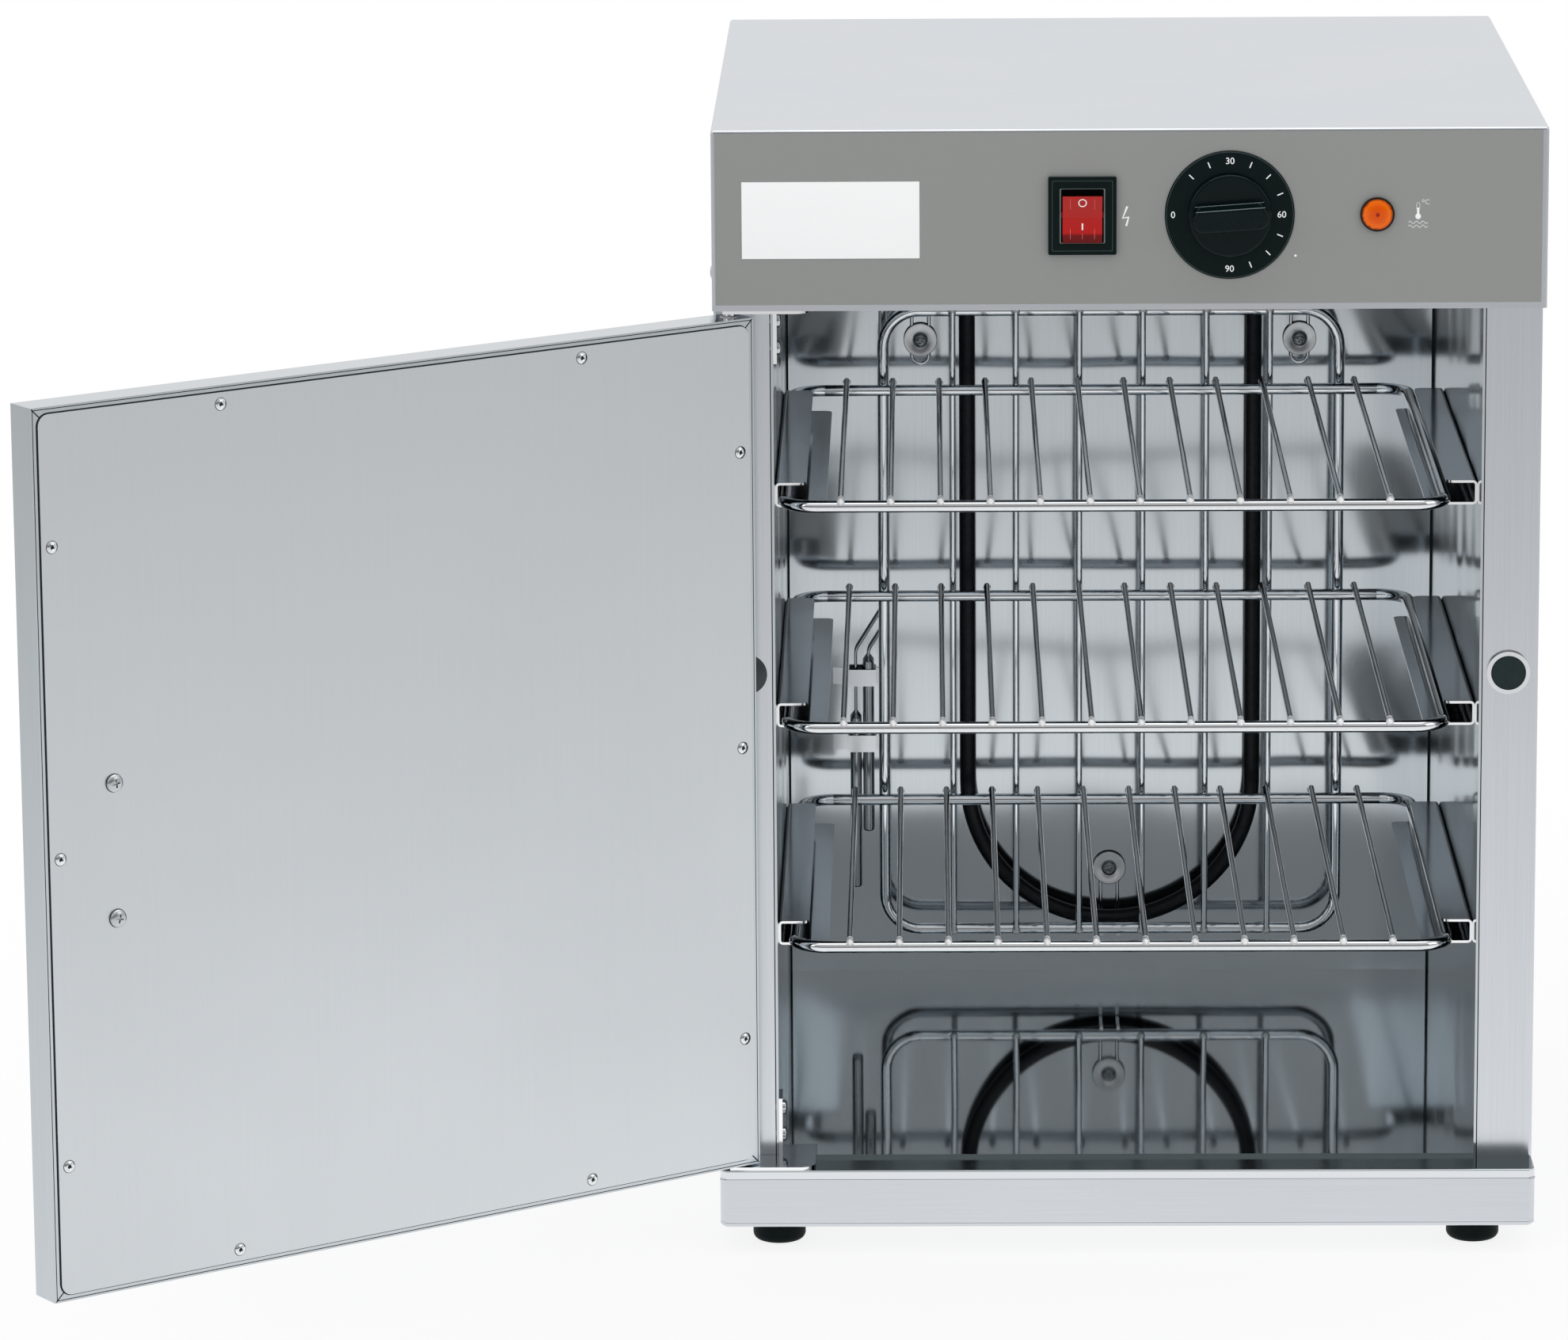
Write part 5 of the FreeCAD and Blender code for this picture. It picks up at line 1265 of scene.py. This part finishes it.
    def rocker_marks(self) -> None:
        """Adds the ring and the bar, and painted highlights of the ribs beside them."""
        prints = self.prints
        ring = MeshMaker.arc(prints.ring_place, prints.ring_radius, 0.0, math.tau,
                             steps=32)[:-1]
        marks = [MeshMaker.stroke(ring, prints.ring_width, prints.mark_gauge, True),
                 MeshMaker.stroke(prints.bar, prints.bar_width, prints.mark_gauge)]
        ribs = [MeshMaker.stroke([(across, low), (across, high)], prints.rib_width,
                                 prints.rib_gauge) for across, low, high in prints.ribs]
        for name, strokes, finish in (("rocker_marks", marks, INK), ("rocker_rib_highlights", ribs, RIB_HIGHLIGHT)):
            self.lay_on_rocker(name, strokes, finish)

    def grip_edge_highlights(self) -> None:
        """Adds painted highlights along the upper edge of the knob's grip and along the line where
        it meets the cap.
        """
        parts = []
        for rise, out, width in self.grip_highlight_lines:
            line = MeshMaker.stroke([(-self.grip_half, 0.0), (self.grip_half, 0.0)], width, width)
            parts.append((line, Matrix.Translation((0.0, rise, out))))
        at = (Facing.FRONT.at(self.dial_x, self.panel_face, self.level)
              @ Matrix.Rotation(math.radians(self.grip_turn), 4, "Z"))
        self.place("grip_edge_highlights", MeshMaker.joined(parts), Body.KNOB, "black_plastic", LIP_HIGHLIGHT, at)

    def switch_lip_highlight(self) -> None:
        """Adds a painted highlight around the rocker's opening and another along the step near the
        frame's edge.
        """
        at = Facing.FRONT.at(self.rocker_x, self.switch_face, self.level)
        (wide, high), corner = self.switch_opening, self.switch_corner
        lip = MeshMaker.ring(
            MeshMaker.rounded(wide + self.lip_overlap, high + self.lip_overlap, corner),
            MeshMaker.rounded(wide - self.lip_inset, high, corner), 0.0, self.lip_gauge)
        self.place("switch_lip_highlight", lip, Body.CABINET, "black_plastic", LIP_HIGHLIGHT, at)
        wide, high = self.switch_step
        step = MeshMaker.ring(
            MeshMaker.rounded(wide, high, corner),
            MeshMaker.rounded(wide - self.step_width, high - self.step_width, corner), 0.0,
            self.step_gauge)
        self.place("switch_step_highlight", step, Body.CABINET, "black_plastic", RIM_HIGHLIGHT, at)

    def lay_on_rocker(self, name: str, strokes: Sequence[Mesh],
                      finish: MouldedFinish) -> None:
        """Lays printed lines on the rocker's two slopes.

        Args:
            name: Name of the piece.
            strokes: Lines in the plane, in millimetres.
            finish: Their finish.
        """
        mesh = MeshMaker.joined((stroke, Matrix.Identity(4)) for stroke in strokes)
        mesh.transform(Facing.FRONT.at(self.rocker_x, 0.0, self.level)
                       @ Matrix.Scale(MILLI, 4))
        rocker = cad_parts["rocker"]
        for vertex in mesh.vertices:
            start = Vector((vertex.co.x, self.probe_start, vertex.co.z))
            hit, place, _, _ = rocker.ray_cast(start, Vector((0, 1, 0)))
            if hit:
                vertex.co.y += place.y
        self.place(name, mesh, Body.ROCKER, "rocker_red", finish)


@dataclass(frozen=True)
class Cavity(Assembly):
    """Polished lining, its corner seams, the runners and what is fixed to them."""

    half: float = 0.1713
    back: float = 0.184
    low: float = 0.044
    high: float = 0.4705
    seam: float = 0.0009

    def build(self) -> None:
        """Dresses the lining and the runners, and adds the dark seams of the rear corners."""
        self.dress(LINING, "cavity_left_wall", "cavity_right_wall", "cavity_back_wall",
                   "cavity_ceiling")
        self.dress(FLOOR_LINING, "cavity_floor")
        self.dress(FOLDED_PAINTED_HIGHLIGHT, *[f"{level}_{side}_runner" for level in ("upper", "middle", "lower")
                             for side in ("left", "right")])
        self.dress(SCREW, "runner_rivets")
        self.dress(WOOL, "insulation")
        outline = [(0, 0), (self.seam, 0), (0, self.seam)]
        strip = MeshMaker.slab(outline, self.low, self.high)
        corners = [(strip, Matrix.Translation((-self.half, self.back, 0))
                    @ Matrix.Rotation(math.radians(-90), 4, "Z")),
                   (strip, Matrix.Translation((self.half, self.back, 0))
                    @ Matrix.Rotation(math.radians(180), 4, "Z"))]
        self.place("lining_seams", MeshMaker.joined(corners), Body.CABINET, "polished_steel",
                   SEAM_AND_SHADE)


@dataclass(frozen=True)
class Shelf(Assembly):
    """One wire shelf with the weld beads at the ends of its cross wires."""

    body: Body
    level: float
    shift: float
    front: float = -0.1748
    back: float = 0.1488
    wires: int = 12
    first: float = -0.13325
    pitch: float = 0.2665 / 11
    rise: float = 0.0031
    bead: float = 0.0021
    bead_shape: Point = (0.92, 1.1, 0.9)
    seeds_per_metre: float = 10.0

    def build(self) -> None:
        """Dresses the wires and adds the beads."""
        self.dress(CHROME, self.body.value)
        parts = [MeshMaker.bead(self.bead, wire + y * self.seeds_per_metre,
                                (self.first + self.pitch * wire - self.shift, y,
                                 self.level + self.rise), self.bead_shape)
                 for wire in range(self.wires) for y in (self.front, self.back)]
        self.place(f"{self.body.value}_welds", MeshMaker.joined(parts), self.body,
                   "chrome_wire", WELD_HIGHLIGHT, smooth=180.0)


@dataclass(frozen=True)
class Guard(Assembly):
    """Wire guard, its welds, the ends of its hanging loops, and its screws and washers."""

    bars: int = 6
    span: float = 0.167
    top: float = 0.4087
    bottom: float = 0.0737
    bead: float = 0.0023
    bead_line: float = 0.15535
    bead_shape: Point = (1.0, 0.8, 1.1)
    seat: float = 0.18095
    fixings: tuple[Place, ...] = ((-0.1003, 0.3893), (0.1003, 0.3893), (0.0, 0.1012))
    loop_line: float = 0.1830
    loop_half: float = 0.0045
    loop_drop: float = 0.0130
    loop_wire: float = 0.0010
    washer: Profile = ((0.0021, -0.001), (0.0089, -0.001), (0.0089, -0.00025),
                       (0.0086, 0.0), (0.0024, 0.0), (0.0021, -0.0002))
    screw: CrossScrew = CrossScrew(head_radius=0.00375, length=0.0065)
    screw_turn: float = 0.5
    turn_per_metre: float = 7.0

    def build(self) -> None:
        """Dresses the guard and adds its welds, loop ends, washers and screws."""
        self.dress(CHROME, "wire_guard")
        parts = [MeshMaker.bead(self.bead, bar + z,
                                (-self.span / 2 + self.span * bar / (self.bars - 1),
                                 self.bead_line, z), self.bead_shape)
                 for bar in range(self.bars) for z in (self.top, self.bottom)]
        self.place("guard_welds", MeshMaker.joined(parts), Body.CABINET, "chrome_wire", WELD_HIGHLIGHT,
                   smooth=180.0)
        ring = MeshMaker.turned([*self.washer, self.washer[0]])
        places = [Facing.FRONT.at(x, self.seat, z) for x, z in self.fixings]
        ends = [(self.loop_end(), Matrix.Translation((x, self.loop_line, z)))
                for x, z in self.fixings[:2]]
        self.place("guard_loop_ends", MeshMaker.joined(ends), Body.CABINET, "chrome_wire",
                   CHROME, smooth=60.0)
        self.place("guard_washers", MeshMaker.joined((ring, at) for at in places), Body.CABINET,
                   "screw_steel", SCREW, stands_for=["guard_fixings"])
        seats = [at @ Matrix.Rotation(self.screw_turn + x * self.turn_per_metre, 4, "Z")
                 for at, (x, _) in zip(places, self.fixings)]
        self.screws("guard_screw_heads", self.screw, seats, Body.CABINET, "", DARK_SCREW)

    def loop_end(self) -> Mesh:
        """Makes the round lower end of a hanging loop, below its screw.

        Returns:
            A new mesh around the screw's middle.
        """
        bend = MeshMaker.arc((0.0, self.loop_half - self.loop_drop), self.loop_half, math.pi,
                             math.tau, steps=10)
        points = [(-self.loop_half, 0.0), *bend, (self.loop_half, 0.0)]
        mesh = MeshMaker.stroke(points, self.loop_wire * 2, self.loop_wire)
        mesh.transform(Facing.FRONT.value)
        return mesh


@dataclass(frozen=True)
class Heating(Assembly):
    """Heating element, sensors and what holds them."""

    def build(self) -> None:
        """Dresses the element, the sensors and their clips."""
        self.dress(OXIDE, "heating_element")
        self.dress(CERAMIC, "heater_bushings", "thermostat_body", "limit_thermostat")
        self.dress(BULB, "thermostat_sensor", "limit_sensor")
        self.dress(BRACKET, "sensor_clips")


@dataclass(frozen=True)
class Hinges(Assembly):
    """Pivot brackets, their screws, the catch and the plug."""

    seat: float = -0.1695
    screw_y: float = -0.16725
    screw_levels: tuple[float, ...] = (0.0524, 0.0659, 0.4471, 0.4606)
    screw: CrossScrew = CrossScrew(head_radius=0.0036, length=0.008)
    turn_per_metre: float = 9.0

    def build(self) -> None:
        """Dresses the brackets and catch, and adds the screws."""
        self.dress(FOLDED_PAINTED_HIGHLIGHT, "hinge_bracket_lower", "hinge_bracket_upper")
        self.dress(CHROME, "magnet_housing")
        self.dress(MAGNET, "magnet_disc")
        self.dress(PLUG, "column_plug")
        self.dress(BEARING, "door_bushes")
        seats = [Facing.RIGHT.at(self.seat, self.screw_y, level)
                 @ Matrix.Rotation(level * self.turn_per_metre, 4, "Z")
                 for level in self.screw_levels]
        self.screws("hinge_screw_heads", self.screw, seats, Body.CABINET, "hinge_screws")


@dataclass(frozen=True)
class Door(Assembly):
    """Door skins, rivets, handle and handle screws; sizes are of the closed door."""

    pivot: Point = (-0.1918, -0.1904, 0.0)
    open_angle: float = 144.0
    half: float = 0.199
    low: float = 0.0448
    high: float = 0.4664
    face: float = -0.180
    flange_face: float = -0.181
    reveal: float = 0.0033
    corner: float = 0.0055
    handle_x: float = 0.161
    handle_levels: tuple[float, ...] = (0.2236, 0.2876)
    screw: CrossScrew = CrossScrew(head_radius=0.0042, length=0.024, slot_width=0.001,
                                   slot_reach=0.0026)
    turn_per_metre: float = 6.0
    seam_width: float = 0.0006
    seam_start: float = 0.0008
    rivet_inset: float = 0.0088
    rivet_spacing: float = 0.146
    rivet: Profile = ((0.0009, -0.003), (0.0016, -0.003), (0.0016, 0.0), (0.0029, 0.0),
                      (0.0028, 0.0003), (0.0021, 0.0008), (0.0012, 0.0009), (0.0009, 0.0006),
                      (0.0009, -0.003))
    # Disc of painted shade in each rivet's hole.
    rivet_hole_shade: Profile = ((0.0, 0.0002), (0.0009, 0.0002), (0.0009, 0.0004), (0.0, 0.0004))
    head_sides: int = 28
    hole_shade_sides: int = 20
    # Thickness of the dark lines, and sizes of the painted shade around heads, along the panel
    # joint and along the edge bend.
    line_gauge: float = 0.00003
    rivet_shadow: Place = (0.0028, 0.0031)
    screw_shadow: Place = (0.0041, 0.0045)
    joint_width: float = 0.0006
    edge_inset: float = 0.0009
    edge_width: float = 0.0004

    @property
    def middle(self) -> float:
        """Height of the door's middle."""
        return (self.high + self.low) / 2

    @property
    def hung(self) -> Matrix:
        """Turn from the closed door to the open one."""
        return (Matrix.Translation(self.pivot)
                @ Matrix.Rotation(math.radians(-self.open_angle), 4, "Z")
                @ Matrix.Translation(-Vector(self.pivot)))

    def build(self) -> None:
        """Dresses the door and adds its screws, rivets, seams and painted shade."""
        self.dress(DOOR_PAN, "door_outer_pan")
        self.dress(DOOR_FACE, "door_inner_panel")
        self.dress(CHROME, "door_handle")
        self.dress(WOOL, "door_insulation")
        seats = [self.hung @ Facing.BACK.at(self.handle_x, self.face, level)
                 @ Matrix.Rotation(level * self.turn_per_metre, 4, "Z")
                 for level in self.handle_levels]
        self.screws("handle_screw_heads", self.screw, seats, Body.DOOR, "handle_screws")
        self.rivets()
        self.seams()

    def rivets(self) -> None:
        """Adds the hollow rivet heads, and painted shade in their holes and around the heads of
        rivets and screws.
        """
        places = [(side * self.half / 2, level) for side in (-1, 1)
                  for level in (self.low + self.rivet_inset, self.high - self.rivet_inset)]
        places += [(side * (self.half - self.rivet_inset),
                    self.middle + self.rivet_spacing * step)
                   for side in (-1, 1) for step in (-1, 0, 1)]
        seats = [self.hung @ Facing.BACK.at(x, self.face, level) for x, level in places]
        head = MeshMaker.turned(self.rivet, self.head_sides)
        hole_shade = MeshMaker.turned(self.rivet_hole_shade, self.hole_shade_sides)
        self.place("door_rivet_heads", MeshMaker.joined((head, at) for at in seats), Body.DOOR,
                   "screw_steel", RIVET, stands_for=["door_rivets"])
        # Rings of painted shade around the rivet heads and the handle screws.
        rim, wide_rim = (self.shadow(*radii) for radii in (self.rivet_shadow, self.screw_shadow))
        dark = [(mesh, at) for mesh in (hole_shade, rim) for at in seats]
        dark += [(wide_rim, self.hung @ Facing.BACK.at(self.handle_x, self.face, level))
                 for level in self.handle_levels]
        self.place("door_fixing_painted_shade", MeshMaker.joined(dark), Body.DOOR, "screw_steel", SEAM_AND_SHADE)

    def shadow(self, inner: float, outer: float) -> Mesh:
        """Makes a thin ring of painted shade around a head that sits on the sheet."""
        return MeshMaker.turned([(inner, 0.0), (inner, self.line_gauge),
                                 (outer, self.line_gauge), (outer, 0.0), (inner, 0.0)],
                                self.head_sides)

    def seams(self) -> None:
        """Adds the mitre seams of the pan's flange, and painted shade along its edge bend and along
        the joint of the sheets.
        """
        reach = self.reveal * math.sqrt(2) + self.corner * (math.sqrt(2) - 1)
        wide = self.seam_width / 2
        strip = MeshMaker.slab([(self.seam_start, -wide), (reach, -wide), (reach, wide),
                                (self.seam_start, wide)], 0.0, self.line_gauge)
        parts = [(strip, self.hung @ Facing.BACK.at(side * self.half, self.flange_face, level)
                  @ Matrix.Rotation(math.atan2(up, -side), 4, "Z"))
                 for side in (-1, 1) for level, up in ((self.low, -1), (self.high, 1))]
        self.place("door_corner_seams", MeshMaker.joined(parts), Body.DOOR, "satin_steel", SEAM_AND_SHADE)
        for name, inset, corner, width, inner_corner in (
                ("door_edge_painted_shade", self.edge_inset, self.edge_width, self.edge_width,
                 self.edge_width),
                ("door_panel_joint_shade", self.reveal - self.joint_width,
                 self.corner + self.joint_width, self.joint_width, self.corner)):
            wide, high = self.half - inset, (self.high - self.low) / 2 - inset
            line = MeshMaker.ring(
                MeshMaker.rounded(wide, high, corner),
                MeshMaker.rounded(wide - width, high - width, inner_corner), 0.0,
                self.line_gauge)
            self.place(name, line, Body.DOOR, "satin_steel", SEAM_AND_SHADE,
                       self.hung @ Facing.BACK.at(0.0, self.flange_face, self.middle))


@dataclass(frozen=True)
class InnerWorks(Assembly):
    """Leads, terminal block and cable gland."""

    def build(self) -> None:
        """Dresses what is inside the header and at its back."""
        self.dress(BLACK, "terminal_block", "cable_gland")
        self.dress(SLEEVE, "wiring")


def main() -> None:
    """Builds the camera, the studio and every sub-assembly."""
    logging.basicConfig(level=logging.INFO, format="%(message)s")
    PhotoCamera().build()
    Studio().build()
    assemblies: list[Assembly] = [
        Casing(), Controls(), Cavity(),
        Shelf(Body.UPPER, level=0.3694, shift=0.0058),
        Shelf(Body.MIDDLE, level=0.2591, shift=0.0050),
        Shelf(Body.LOWER, level=0.1487, shift=0.0025),
        Guard(), Heating(), Hinges(), Door(), InnerWorks(),
    ]
    for assembly in assemblies:
        assembly.build()


if __name__ == "__main__":
    main()
